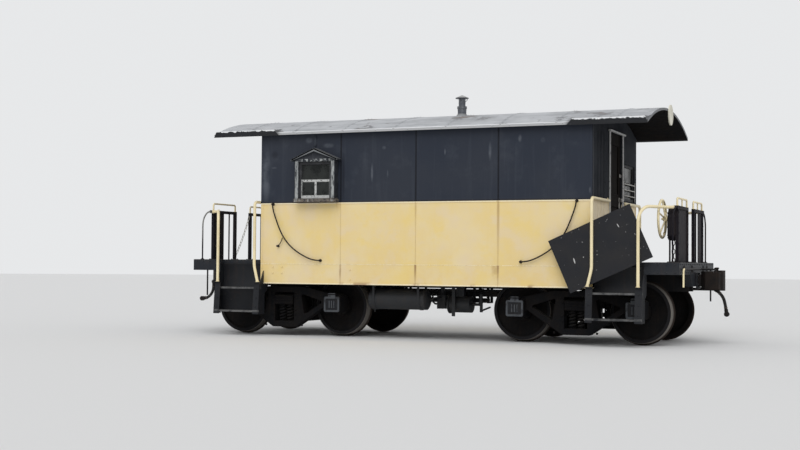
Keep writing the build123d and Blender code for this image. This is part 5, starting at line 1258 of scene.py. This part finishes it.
# Windows.
# A wooden box window stands out from each side under a small sheet-metal hood, its paint peeled to grey.
# Each holds a sash with one wide pane over two; each end wall has one sash behind three guard bars.
WINDOW_DARK = (0.018, 0.021, 0.028, 1)
WINDOW_GREY = (0.11, 0.115, 0.125, 1)
WINDOW_PEELED = (0.43, 0.45, 0.45, 1)
WINDOW_BARE = (0.17, 0.145, 0.12, 1)
HOOD_PALE = (0.13, 0.135, 0.145, 1)
HOOD_EDGE_HIGHLIGHT = (0.19, 0.20, 0.21, 1)
SASH_PALE = (0.56, 0.57, 0.56, 1)
SASH_DARK = (0.030, 0.030, 0.032, 1)
GUARD_GREY = (0.40, 0.40, 0.38, 1)
GLASS_TINT = (0.009, 0.011, 0.011, 1)
GLASS_DUST = (0.060, 0.066, 0.062, 1)
BAY_X = -1.580
BAY_HALF = 0.325
BAY_FRONT = 1.398
BAY_SILL = 2.025
BAY_HEAD = 2.561
BAY_EAVE = 2.595
BAY_PEAK = 2.755
HOOD_REACH = BAY_HALF + 0.050
CASING_EDGE = BAY_HALF - 0.058
PUTTY = 0.007
# Panes, from the window's middle: from and to across, from and to up.
PANES = ((-0.227, 0.227, 2.295, 2.521), (-0.227, -0.011, 2.065, 2.271), (0.011, 0.227, 2.065, 2.271))
SASH_LOCK = ((0.014, 0), (0.014, 0.003), (0.006, 0.008))


def bay_layers(tree):
    """Peeled paint on the jamb and header fronts, bare weathered wood on the sill, a paler hood, and painted
    highlight lines on the hood's front edges.
    """
    x, y, z = abs(along(tree, "X") - BAY_X), abs(along(tree, "Y")), along(tree, "Z")
    shreds = noise(mapped(spot(tree), Scale=(30, 30, 7)), 1.0, 6.0, 0.7)
    spots = noise(spot(tree), 24.0, 6.0, 0.7)
    front = mask(y, BAY_FRONT - 0.003, BAY_FRONT - 0.001)
    jamb = mask(x, BAY_HALF - 0.060, BAY_HALF - 0.057) * mask(x, BAY_HALF - 0.004, BAY_HALF - 0.010)
    jamb = jamb * front * mask(z, BAY_EAVE - 0.01, BAY_EAVE - 0.04)
    head = front * near(z, 2.580, 0.016, 0.008) * mask(spots, 0.50, 0.56) * mask(x, 0.30, 0.20)
    sill = mask(z, 2.030, 2.024) * mask(y, BODY_SIDE + 0.003, BODY_SIDE + 0.005)
    hood = mask(axis_of(spot(tree, "Normal"), "Z"), 0.3, 0.6) * mask(z, 2.575, 2.590)
    return [
        (jamb * mask(shreds, 0.36, 0.56) * 0.9, WINDOW_PEELED),
        (head * 0.9, WINDOW_PEELED),
        (sill * mask(spots, 0.36, 0.60), WINDOW_BARE),
        (sill * mask(shreds, 0.56, 0.64) * 0.8, WINDOW_PEELED),
        (hood * 0.9, HOOD_PALE),
        # Painted highlight lines on the hood's front edges.
        (mask(y, 1.4305, 1.4310) * mask(z, 2.57, 2.575), HOOD_EDGE_HIGHLIGHT),
    ]


def sash_layers(tree):
    """Pale rails and mullion of the side sashes; their stiles and top stay dark."""
    spots = mask(noise(spot(tree), 30.0, 6.0, 0.7), 0.36, 0.46)
    inside = mask(abs(along(tree, "X") - BAY_X), 0.232, 0.226) * mask(along(tree, "Z"), 2.31, 2.30)
    return [(inside * mask(abs(along(tree, "Y")), 1.30, 1.31) * spots * 0.95, SASH_PALE)]


window_paint = weathered(
    "window_trim", WINDOW_DARK, WINDOW_GREY, WINDOW_GREY, roughness=0.75, scale=6, broad=0.2, runs=0.2,
    flakes=0.66, flake_scale=30, wear=0.45, edge=0.004, dust=0.3, grain=0.6, layers=bay_layers, gloss=0.25,
)
sash_paint = weathered(
    "window_sashes", SASH_DARK, WINDOW_GREY, WINDOW_GREY, roughness=0.65, scale=8, broad=0.3, flakes=0.68,
    flake_scale=40, wear=0.5, edge=0.003, dust=0.3, grain=0.4, layers=sash_layers, gloss=0.1,
)
guard_paint = weathered(
    "guard_paint", GUARD_GREY, STEEL_SHADE, YELLOW_RUST, roughness=0.5, scale=10, runs=0.2, flakes=0.68,
    flake_scale=40, wear=0.4, edge=0.002,
)
glass = {"Transmission Weight": 0.35, "IOR": 1.45, "Specular IOR Level": 0.06}
dusty_glass, glass_shader = new_material("window_glass", glass)
grime = effect(dusty_glass.node_tree, WEATHERING, {"Broad Scale": 7})
film = grime["Broad"] * 0.55 | grime["Runs"] * 0.7
plug(glass_shader, {"Base Color": mixed(film, GLASS_TINT, GLASS_DUST), "Roughness": film * 0.5 + 0.12})
give(window_paint, "bay_window_near", "bay_window_far")
give(sash_paint, "window_sashes")
give(guard_paint, "window_guards")
give(dusty_glass, "window_glass")


def bead(mesh, way, x, y, z, ease=0.0015, place=None):
    """A board or bead of one box window, given as it stands on the far side."""
    slab(mesh, x, (way * y[0], way * y[1]), z, ease, place)


def window_fittings(side):
    """Hood sheets with drip edges, casing beads, header and sill boards, and nails of one box window."""
    mesh = bmesh.new()
    way = SIDES[side]
    slope = math.hypot(BAY_PEAK - BAY_EAVE, HOOD_REACH)
    lean = math.atan2(BAY_PEAK - BAY_EAVE, HOOD_REACH)
    for step in (-1, 1):
        foot = Matrix.Translation((BAY_X + step * HOOD_REACH, 0, BAY_EAVE))
        place = foot @ Matrix.Rotation(step * lean, 4, "Y")
        bead(mesh, way, (0, -step * slope), (1.276, 1.432), (0.0, 0.0022), 0.001, place)
        bead(mesh, way, (0.001, -step * slope), (1.4312, 1.4330), (-0.020, 0.002), 0.0007, place)
        for n in range(5):
            nail = place @ Vector((-step * (0.05 + n * 0.075), way * 1.418, 0.0020))
            stud(mesh, nail, (step * math.sin(lean), 0, math.cos(lean)), 0.0045)
    for step in (-1, 1):
        edge = BAY_X + step * CASING_EDGE
        outer = BAY_X + step * BAY_HALF
        bead(mesh, way, (edge, edge + step * 0.012), (BAY_FRONT, 1.403), (BAY_SILL, BAY_HEAD))
        bead(mesh, way, (outer, outer - step * 0.008), (BAY_FRONT, 1.404), (2.016, BAY_EAVE - 0.02))
        for n in range(5):
            stud(mesh, (outer - step * 0.030, way * 1.3975, 2.07 + n * 0.115), (0, way, 0), 0.0035)
    bead(mesh, way, about(BAY_X, CASING_EDGE), (BAY_FRONT, 1.403), (BAY_HEAD, BAY_HEAD + 0.012))
    bead(mesh, way, about(BAY_X, BAY_HALF + 0.010), (1.3985, 1.4260), (2.0155, 2.0215), 0.002)
    piece(f"window_fittings_{side}", mesh, window_paint, "root")


def sash_putty(side):
    """Putty fillets round each pane of one box window, and the sash lock on the meeting rail."""
    mesh = bmesh.new()
    way = SIDES[side]
    for x0, x1, z0, z1 in PANES:
        for low_x, high_x, low, high in (
            (x0, x0 + PUTTY, z0, z1), (x1 - PUTTY, x1, z0, z1),
            (x0, x1, z0, z0 + PUTTY), (x0, x1, z1 - PUTTY, z1),
        ):
            bead(mesh, way, (BAY_X + low_x, BAY_X + high_x), (1.3555, 1.3625), (low, high), 0.003)
    turned(mesh, (BAY_X + 0.06, way * 1.362, 2.283), (0, way, 0), SASH_LOCK, 16)
    piece(f"sash_putty_{side}", mesh, sash_paint, "root")


for side in SIDES:
    window_fittings(side)
    sash_putty(side)

# Roof and its fittings.
# Galvanised sheets on an arched frame, lapped across the car, in a silver coat that has peeled in patches.
# Black strips hang along the eaves over the platforms, which are lined with boards.
# A stove pipe stands on top, and a round cover hangs on the edge at end B.
ROOF_SILVER = (0.50, 0.515, 0.54, 1)
ROOF_BRIGHT = (0.93, 0.95, 0.97, 1)
ROOF_DULL = (0.27, 0.28, 0.30, 1)
ROOF_PEELED = (0.14, 0.14, 0.145, 1)
ROOF_RUST = (0.20, 0.13, 0.09, 1)
ROOF_UNDER_SHADE = (0.006, 0.006, 0.007, 1)
LINING_TAR = (0.010, 0.010, 0.011, 1)
LINING_BROWN = (0.016, 0.013, 0.011, 1)
STRIP_BLACK = (0.010, 0.011, 0.014, 1)
PIPE_GREY = (0.090, 0.098, 0.115, 1)
PIPE_PALE = (0.21, 0.22, 0.235, 1)
PIPE_DUST_AND_HIGHLIGHT = (0.50, 0.50, 0.49, 1)
PIPE_RUN = (0.06, 0.04, 0.03, 1)
DISC_CREAM = (0.80, 0.775, 0.66, 1)
DISC_SHADE = (0.58, 0.55, 0.45, 1)
ROOF_CROWN = 3.289
ROOF_HALF_LENGTH = 3.293
ROOF_HALF_WIDTH = 1.370
ROOF_RISE = 0.285
ROOF_RADIUS = (ROOF_HALF_WIDTH ** 2 + ROOF_RISE ** 2) / (2 * ROOF_RISE)
ROOF_AXIS_Z = ROOF_CROWN - ROOF_RADIUS
ROOF_LAPS = (-2.75, -1.95, -1.15, -0.35, 0.45, 1.25, 2.05, 2.85)
LAP_HALF = 0.0175
LAP_STEPS = 36
LAP_NAILS = 24
LINING_RADIUS = ROOF_RADIUS - 0.0355
LINING_BOARDS = 26
PIPE_X = 0.180
# Rolled rims of the stove pipe: height of the foot, inner radius, outer radius, height of the rim.
PIPE_RIMS = (
    (3.408, 0.064, 0.0695, 0.010), (3.413, 0.070, 0.0745, 0.008), (3.442, 0.070, 0.0745, 0.008),
    (3.300, 0.064, 0.0680, 0.008), (3.500, 0.050, 0.0545, 0.007), (3.5685, 0.094, 0.1005, 0.009),
)
PIPE_KNOB = ((0.014, -0.006), (0.010, -0.001), (0.003, 0.0))
DISC_CENTRE = (3.3049, 0.060, 3.210)
DISC_BOSS = ((0.045, 0), (0.040, 0.002), (0.012, 0.004))


def roof_layers(tree):
    """Peeled patches and streaks on the sheets, an underside painted near black as painted shade, black drip
    strips, a pale end edge.
    """
    where = spot(tree)
    x, y, z = abs(along(tree, "X")), abs(along(tree, "Y")), along(tree, "Z")
    patches = noise(where, 1.7, 6.0, 0.62)
    strokes = noise(mapped(where, Scale=(1.1, 6, 6)), 1.5, 5.0, 0.6)
    laps = [near(along(tree, "X"), place, 0.012, 0.02) for place in ROOF_LAPS]
    lap = laps[0]
    for other in laps[1:]:
        lap = lap | other
    ragged = noise(where, 11.0, 6.0, 0.7) * 0.16 + 2.985
    frayed = noise(where, 14.0, 6.0, 0.7) * 0.09 + 2.992
    torn = mask(x, 2.15, 2.25) * mask(z - ragged, 0.004, -0.004)
    under = mask(axis_of(spot(tree, "Normal"), "Z"), 0.05, -0.05)
    drip = mask(y, 1.3702, 1.3704) * mask(x, 2.18, 2.185)
    ends = mask(x, ROOF_HALF_LENGTH - 0.0005, ROOF_HALF_LENGTH - 0.0002) * mask(z, 2.975, 2.985)
    return [
        (mask(strokes, 0.50, 0.66) * 0.65, ROOF_DULL),
        (mask(patches, 0.575, 0.615) * 0.85, ROOF_PEELED),
        (mask(patches, 0.635, 0.66) * 0.6, ROOF_RUST),
        (lap * mask(strokes, 0.35, 0.55) * 0.4, ROOF_DULL),
        (mask(z, 3.022, 3.008) * 0.9, ROOF_BRIGHT),
        (torn * 0.9, STRIP_BLACK),
        (ends, ROOF_DULL),
        # Painted shade: downward faces turn near black.
        (under, ROOF_UNDER_SHADE),
        (drip, STRIP_BLACK),
        (drip * ~mask(z - frayed, 0.003, -0.003) * 0.9, ROOF_BRIGHT),
    ]


roof_coat = weathered(
    "roof_silver", ROOF_SILVER, ROOF_DULL, ROOF_PEELED, roughness=0.5, scale=1.6, broad=0.55, runs=0.0,
    flakes=0.70, flake_scale=7, wear=0.2, edge=0.003, dust=0.15, dust_colour=ROOF_DULL, layers=roof_layers,
    gloss=0.3,
)
# On the stove pipe the dust on upward faces is pale grey: settled dust and a painted highlight on its tops.
pipe_metal = weathered(
    "stove_pipe", PIPE_GREY, PIPE_PALE, YELLOW_RUST, roughness=0.45, metallic=0.35, scale=9, runs=0.4,
    run_colour=PIPE_RUN, flakes=0.71, flake_scale=25, wear=0.2, dust=0.75, dust_colour=PIPE_DUST_AND_HIGHLIGHT, edge=0.003,
)
disc_paint = weathered(
    "disc_paint", DISC_CREAM, DISC_SHADE, FRAME_RUST, roughness=0.5, scale=6, runs=0.2, run_colour=DISC_SHADE,
    flakes=0.74, flake_scale=30, wear=0.35, edge=0.003, dust=0.1,
)
lining_tar = weathered(
    "lining_tar", LINING_TAR, LINING_BROWN, FRAME_RUST, roughness=0.9, scale=2.5, runs=0.1, flakes=0.74,
    wear=0.2, edge=0.002, dust=0.0, grain=0.4, gloss=0.03,
)
give(roof_coat, "roof")
give(pipe_metal, "smoke_jack")
give(disc_paint, "end_disc")


def on_arch(x, angle, radius):
    """A point on an arch about the roof's axis."""
    return Vector((x, radius * math.sin(angle), ROOF_AXIS_Z + radius * math.cos(angle)))


def arched(mesh, section, angles):
    """A strip bent over the roof's axis through some angles; its section's corners are (x, radius)."""
    skinned(mesh, [[mesh.verts.new(on_arch(x, angle, radius)) for x, radius in section] for angle in angles])


def roof_laps():
    """Lapped joints of the roof sheets, each with a row of nails over the arch, and nails along the eaves."""
    mesh = bmesh.new()
    half = math.asin((ROOF_HALF_WIDTH - 0.002) / ROOF_RADIUS)
    low, high = ROOF_RADIUS - 0.001, ROOF_RADIUS + 0.0028
    for x in ROOF_LAPS:
        flat = 0.9 * LAP_HALF
        section = ((x - LAP_HALF, low), (x - flat, high), (x + flat, high), (x + LAP_HALF, low))
        arched(mesh, section, [-half + 2 * half * n / LAP_STEPS for n in range(LAP_STEPS + 1)])
        for n in range(1, LAP_NAILS):
            angle = -half + 2 * half * n / LAP_NAILS
            up = Vector((0, math.sin(angle), math.cos(angle)))
            stud(mesh, on_arch(x, angle, ROOF_RADIUS + 0.0025), up, 0.007)
    for side in (-1, 1):
        for n in range(26):
            x = -3.15 + n * 0.252
            stud(mesh, (x, side * (1.3695 if abs(x) < 2.15 else 1.3795), 2.990), (0, side, 0), 0.007)
    piece("roof_laps", mesh, roof_coat, "root")


def overhang_lining(end):
    """Tarred boards bent under the roof's overhang, side by side from eave to eave."""
    mesh = bmesh.new()
    way = ENDS[end]
    half = math.asin(1.340 / LINING_RADIUS)
    near_x, far_x = sorted((way * (BODY_END + 0.003), way * (ROOF_HALF_LENGTH - 0.004)))
    under = LINING_RADIUS - 0.006
    section = ((near_x, LINING_RADIUS), (far_x, LINING_RADIUS), (far_x, under), (near_x, under))
    for n in range(LINING_BOARDS):
        low = -half + 2 * half * n / LINING_BOARDS + 0.0007
        high = -half + 2 * half * (n + 1) / LINING_BOARDS - 0.0007
        arched(mesh, section, (low, high))
    piece(f"overhang_lining_{end}", mesh, lining_tar, "root", 20)


def pipe_details():
    """Rolled rims, seam, top knob, stays of the cap and rivets of the stove pipe."""
    mesh = bmesh.new()
    for z, inner, outer, high in PIPE_RIMS:
        profile = [(inner, 0), (outer, high * 0.25), (outer, high * 0.75), (inner, high)]
        turned(mesh, (PIPE_X, 0, z), UP, profile, 40)
    slab(mesh, about(PIPE_X, 0.004), (-0.0675, -0.0635), (3.33, 3.408), 0.001)
    turned(mesh, (PIPE_X, 0, 3.6195), UP, PIPE_KNOB, 16)
    for c, s in compass(6, 0.3):
        for z, radius in ((3.432, 0.0705), (3.395, 0.0645)):
            stud(mesh, (PIPE_X + radius * c, radius * s, z), (c, s, 0), 0.0045)
    for c, s in compass(3, 0.5):
        stay = ((3.520, 0.050), (3.5475, 0.077), (3.575, 0.080))
        round_bar(mesh, [(PIPE_X + radius * c, radius * s, z) for z, radius in stay], 0.004)
    piece("pipe_details", mesh, pipe_metal, "root", 50)


def disc_details():
    """Rolled rim and centre boss of the round cover."""
    mesh = bmesh.new()
    x, y, z = DISC_CENTRE
    round_bar(mesh, [(x, y + 0.142 * c, z + 0.142 * s) for c, s in compass(64)], 0.0040, closed=True)
    turned(mesh, DISC_CENTRE, (1, 0, 0), DISC_BOSS, 28)
    piece("disc_details", mesh, disc_paint, "root")


for end in ENDS:
    overhang_lining(end)
roof_laps()
pipe_details()
disc_details()

# Handrails, grips and end railings.
# Bent steel pipe painted cream stands on the step sides; the railings are square posts and black sheet.
# Plates and bolts hold each foot; the paint has gone where hands rub it.
CREAM_SHADE = (0.70, 0.57, 0.32, 1)
CREAM_WORN = (0.16, 0.11, 0.07, 1)
RAILING_BLACK = (0.010, 0.009, 0.013, 1)
RAILING_DULL = (0.020, 0.017, 0.019, 1)
RAILING_WORN = (0.070, 0.050, 0.040, 1)
ROD_HIGHLIGHT_GREY = (0.26, 0.26, 0.25, 1)
RAILING_X = 3.585
DECK_SURFACE = DECK_TOP + 0.003
RAIL_Y = 1.420
RAIL_COLLAR = ((0.0232, 0), (0.0250, 0.003), (0.0212, 0.008))
WALL_FLANGE = ((0.045, 0), (0.045, 0.005), (0.038, 0.008), (0.022, 0.009))
RAIL_CLAMP = ((0.0212, 0), (0.0275, 0.003), (0.0275, 0.015), (0.0212, 0.019))
POST_CAP = ((0.024, 0), (0.024, 0.003), (0.013, 0.008))
ROD_FOOT = ((0.030, 0), (0.030, 0.007), (0.018, 0.012), (0.012, 0.022))


def railing_layers(tree):
    """The bent corner rods at end A, their outer half painted light grey as a painted highlight on the black.
    """
    outer = mask(along(tree, "X"), -3.57, -3.573) * mask(abs(along(tree, "Y")), 0.952, 0.956)
    uneven = mask(noise(spot(tree), 20.0, 4.0), 0.25, 0.5)
    return [(outer * mask(along(tree, "Z"), 1.30, 1.65) * uneven, ROD_HIGHLIGHT_GREY)]


handrail_paint = weathered(
    "handrail_cream", HANDRAIL_CREAM, CREAM_SHADE, CREAM_WORN, roughness=0.42, scale=6, broad=0.35, runs=0.05,
    flakes=0.755, flake_scale=40, wear=0.3, edge=0.002, dust=0.05, grain=0.1,
)
railing_paint = weathered(
    "railing_black", RAILING_BLACK, RAILING_DULL, RAILING_WORN, roughness=0.65, scale=4, runs=0.25,
    flakes=0.71, flake_scale=25, wear=0.5, edge=0.004, dust=0.2, layers=railing_layers, gloss=0.1,
)
give(handrail_paint, "handrails_a", "handrails_b", "brake_wheel")
give(railing_paint, "end_railing_a", "end_railing_b", "brake_stand")


def handrail_feet(end):
    """Foot plates and collars, wall flanges of the belt rails, clamps at the railing, and its post caps."""
    mesh = bmesh.new()
    way = ENDS[end]
    for side in (-1, 1):
        for x in (3.178, 2.499):
            slab(mesh, about(way * x, 0.028), about(side * RAIL_Y, 0.019), (0.797, 0.802), 0.0015)
            turned(mesh, (way * x, side * RAIL_Y, 0.808), UP, RAIL_COLLAR, 24)
        face = way * (BODY_END - 0.001)
        turned(mesh, (face, side * 0.453, 1.982), (way, 0, 0), WALL_FLANGE, 28)
        for c, s in compass(4, math.pi / 4):
            bolt = (face + way * 0.006, side * 0.453 + 0.034 * c, 1.982 + 0.034 * s)
            stud(mesh, bolt, (way, 0, 0), 0.005)
        turned(mesh, (way * 3.545, side * 0.950, 1.865), (way, 0, 0), RAIL_CLAMP, 24)
        for y in (0.895, 0.240):
            turned(mesh, (way * RAILING_X, side * y, 1.8865), UP, POST_CAP, 20)
    piece(f"handrail_feet_{end}", mesh, handrail_paint, "root")


def railing_feet(end):
    """Foot plates with bolts under the posts and corner rods, and rivets through the posts into the sheet."""
    mesh = bmesh.new()
    way = ENDS[end]
    x = way * RAILING_X
    for side in (-1, 1):
        for y in (side * 0.893, side * 0.242):
            slab(mesh, about(x, 0.045), about(y, 0.045), (DECK_SURFACE, DECK_SURFACE + 0.008))
            for bolt_x in about(x, 0.034):
                for bolt_y in about(y, 0.034):
                    nut(mesh, (bolt_x, bolt_y, DECK_SURFACE + 0.007), UP, 0.0075)
            for n in range(5):
                for out in (-way, way):
                    stud(mesh, (x + out * 0.0215, y, 1.24 + n * 0.14), (out, 0, 0), 0.008)
        turned(mesh, (x, side * 1.200, DECK_SURFACE - 0.001), UP, ROD_FOOT, 20)
    piece(f"railing_feet_{end}", mesh, railing_paint, "root")


for end in ENDS:
    handrail_feet(end)
    railing_feet(end)

# Hand brake.
# A dished iron wheel on a short shaft in a cast gear housing; a chain of welded links drops to the deck.
# The wheel is painted cream like the handrails; another chain closes the gap in the railing at end A.
CHAIN_IRON = (0.050, 0.042, 0.036, 1)
CHAIN_BROWN = (0.085, 0.055, 0.038, 1)
CHAIN_WORN = (0.14, 0.11, 0.09, 1)
CHAIN_PALE = (0.50, 0.49, 0.42, 1)
CHAIN_SHADE = (0.30, 0.26, 0.20, 1)
CHAIN_RUST = (0.09, 0.055, 0.035, 1)
BRAKE_Y = -0.780
BRAKE_Z = 1.715
HOUSING_X = 3.458
CHAIN_X = 3.5105
HOUSING_BOSS = ((0.055, 0), (0.055, 0.008), (0.046, 0.014), (0.030, 0.018), (0.018, 0.018))
# Bolts of the housing: away from the shaft across, height.
HOUSING_BOLTS = ((-0.105, 1.79), (0.105, 1.79), (-0.125, 1.60), (0.125, 1.60), (-0.105, 1.49), (0.105, 1.49))
PAWL_PIN = ((0.014, 0), (0.014, 0.016), (0.009, 0.020))
HUB_WASHER = ((0.028, 0), (0.028, 0.004), (0.020, 0.005))
HUB_NUT = ((0.019, 0), (0.019, 0.014), (0.016, 0.017), (0.009, 0.017), (0.009, 0.026), (0.006, 0.028))
SPOKE_RIM_END = ((0.0112, 0), (0.0145, 0.010), (0.019, 0.024))
SPOKE_HUB_END = ((0.019, 0), (0.014, 0.012), (0.0112, 0.022))

chain_iron = weathered(
    "chain_iron", CHAIN_IRON, CHAIN_BROWN, CHAIN_WORN, roughness=0.6, scale=30, flakes=0.68, flake_scale=60,
    wear=0.3, edge=0.002, dust=0.1, grain=0.6, gloss=0.2,
)
chain_paint = weathered(
    "chain_paint", CHAIN_PALE, CHAIN_SHADE, CHAIN_RUST, roughness=0.55, scale=30, flakes=0.66, flake_scale=60,
    wear=0.3, edge=0.002, dust=0.05, grain=0.5,
)


def chain_run(name, places, width, wire, material):
    """Welded oval links from place to place along a line, each a quarter turn from the last."""
    mesh = bmesh.new()
    for n, (low, high) in enumerate(zip(places, places[1:])):
        run = (high - low).normalized()
        side = run.cross(Vector((1, 0, 0))).normalized()
        wide = side if n % 2 else run.cross(side)
        bend = (width - wire) / 2
        straight = ((high - low).length + 1.8 * wire) / 2 - wire / 2 - bend
        half_turn = compass(9, -math.pi / 2, math.pi / 8)
        half_link = [run * (straight + bend * c) + wide * bend * s for c, s in half_turn]
        middle = (low + high) / 2
        loop = [middle + part * corner for part in (1, -1) for corner in half_link]
        round_bar(mesh, loop, wire / 2, closed=True)
    made = piece(name, mesh, material, "root", 60)
    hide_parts("chains")


def hanging(start, end, count, sag=0.0):
    """Joints of a chain, with a little sag square to its line."""
    start = Vector(start)
    run = Vector(end) - start
    down = Vector(DOWN)
    down = (down - run.normalized() * down.dot(run.normalized())).normalized()
    shares = [n / count for n in range(count + 1)]
    return [start + run * share + down * (4 * sag * share * (1 - share)) for share in shares]


def brake_gear():
    """Shaft boss, bolts and cover of the housing, the pawl with its lever, and the foot post's plate."""
    mesh = bmesh.new()
    out = (-1, 0, 0)
    turned(mesh, (HOUSING_X + 0.001, BRAKE_Y, BRAKE_Z), out, HOUSING_BOSS, 32)
    for y, z in HOUSING_BOLTS:
        nut(mesh, (HOUSING_X + 0.001, BRAKE_Y + y, z), out, 0.010)
    slab(mesh, (HOUSING_X - 0.004, HOUSING_X + 0.002), about(BRAKE_Y, 0.085), (1.465, 1.640), 0.004)
    turned(mesh, (HOUSING_X, BRAKE_Y + 0.035, 1.560), out, PAWL_PIN, 16)
    lever = ((0.012, 0.035, 1.560), (0.014, 0.010, 1.500), (0.014, -0.030, 1.455))
    round_bar(mesh, [(HOUSING_X - x, BRAKE_Y + y, z) for x, y, z in lever], 0.008)
    slab(mesh, (3.445, 3.511), about(BRAKE_Y - 0.075, 0.040), (1.127, 1.136))
    for y in (-0.105, -0.045):
        for x in (3.455, 3.501):
            nut(mesh, (x, BRAKE_Y + y, 1.135), UP, 0.006)
    piece("brake_gear", mesh, railing_paint, "root")


def wheel_hub():
    """Hub nut, washer and the spokes' root fillets on the brake wheel."""
    mesh = bmesh.new()
    turned(mesh, (3.3775, BRAKE_Y, BRAKE_Z), (-1, 0, 0), HUB_WASHER, 24)
    turned(mesh, (3.3735, BRAKE_Y, BRAKE_Z), (-1, 0, 0), HUB_NUT, 6)
    for c, s in compass(5, math.pi / 2):
        out = Vector((0, c, s))
        lean = (Vector((-0.045, 0, 0)) + out * 0.253).normalized()
        rim_end = Vector((3.360, BRAKE_Y, BRAKE_Z)) + out * 0.238
        turned(mesh, rim_end - lean * 0.020, lean, SPOKE_RIM_END)
        turned(mesh, Vector((3.400, BRAKE_Y, BRAKE_Z)) + out * 0.028, lean, SPOKE_HUB_END)
    piece("brake_wheel_hub", mesh, handrail_paint, "hand_brake_wheel", 50)


brake_places = hanging((CHAIN_X, BRAKE_Y, 1.4215), (CHAIN_X, BRAKE_Y, 1.126), 5)
chain_run("brake_chain", brake_places, 0.050, 0.011, chain_iron)
gap_places = hanging((-RAILING_X, 0.2115, 1.825), (-RAILING_X, -0.2115, 1.185), 14, 0.020)
chain_run("safety_chain", gap_places, 0.034, 0.0075, chain_paint)
brake_gear()
wheel_hub()

# Grab rods and the loose board.
# Curved iron rods, each on two riveted pads, sweep down the sides from the corners at the belt.
# The board is weathered black-painted plywood, wedged behind the handrails and worn at its edges.
ROD_BLACK = (0.020, 0.015, 0.012, 1)
BOARD_BLACK = (0.024, 0.025, 0.029, 1)
BOARD_DULL = (0.032, 0.031, 0.032, 1)
BOARD_SCRATCH = (0.55, 0.55, 0.55, 1)
BOARD_PLY = (0.12, 0.10, 0.08, 1)
# Scratches: centre X and Z, half length, half width, lean.
SCRATCHES = (
    (2.905, 1.610, 0.032, 0.007, -1.0), (2.315, 1.140, 0.010, 0.045, 0.30), (2.44, 1.19, 0.008, 0.008, 0),
)
ROD_NUTS = ((2.317, 1.950), (1.530, 1.121))
HOOK = ((-2.142, 1.454), (-2.160, 1.405), (-2.185, 1.362), (-2.212, 1.338), (-2.226, 1.332))
HOOK_BUTTON = (
    (0.020, 0), (0.020, 0.004), (0.009, 0.010), (0.009, 0.036), (0.014, 0.040), (0.014, 0.048),
    (0.004, 0.053),
)
BOARD_CORNER = (2.470, -1.3963, 0.797)
BOARD_LEAN = math.radians(-24)


def board_layers(tree):
    """Scratches and specks on the near face."""
    where = spot(tree)
    layers = [(mask(noise(where, 34.0, 2.0, 0.4), 0.735, 0.75) * 0.35, BOARD_SCRATCH)]
    for centre_x, centre_z, wide, high, lean in SCRATCHES:
        place = mapped(mapped(where, Location=(-centre_x, 0, -centre_z)), Rotation=(0, lean, 0))
        away = length(axis_of(place, "X") / wide, axis_of(place, "Z") / high)
        layers.append((mask(away, 1.0, 0.7) * 0.9, BOARD_SCRATCH))
    return layers


rod_paint = weathered(
    "rod_paint", ROD_BLACK, FRAME_BROWN, FRAME_RUST, roughness=0.55, scale=14, flakes=0.69, flake_scale=50,
    wear=0.3, edge=0.002, dust=0.1, gloss=0.2,
)
board_paint = weathered(
    "board_charcoal", BOARD_BLACK, BOARD_DULL, BOARD_PLY, roughness=0.7, scale=3, runs=0.0, flakes=0.73,
    flake_scale=30, wear=0.55, edge=0.004, layers=board_layers, gloss=0.12,
)
give(rod_paint, "grab_rods")
give(board_paint, "step_board")


def rod_fittings():
    """Nuts on the pads of all four grab rods, and the small hook branching from each rod at end A."""
    mesh = bmesh.new()
    for side in (-1, 1):
        for way in (-1, 1):
            for x, z in ROD_NUTS:
                nut(mesh, (way * x, side * (BODY_SIDE + 0.053), z), (0, side, 0), 0.011)
        round_bar(mesh, [(x, side * 1.318, z) for x, z in HOOK], 0.007)
        turned(mesh, (-2.228, side * 1.279, 1.331), (0, side, 0), HOOK_BUTTON)
    piece("rod_fittings", mesh, rod_paint, "root")


def board_nails():
    """Screw heads along the board's two long edges, where it was once fixed."""
    mesh = bmesh.new()
    place = Matrix.Translation(BOARD_CORNER) @ Matrix.Rotation(BOARD_LEAN, 4, "Y")
    for n in range(5):
        for high in (0.045, 0.72):
            stud(mesh, place @ Vector((-0.16 + n * 0.268, 0, high)), (0, -1, 0), 0.0055)
    piece("board_nails", mesh, rod_paint, "root")


rod_fittings()
board_nails()
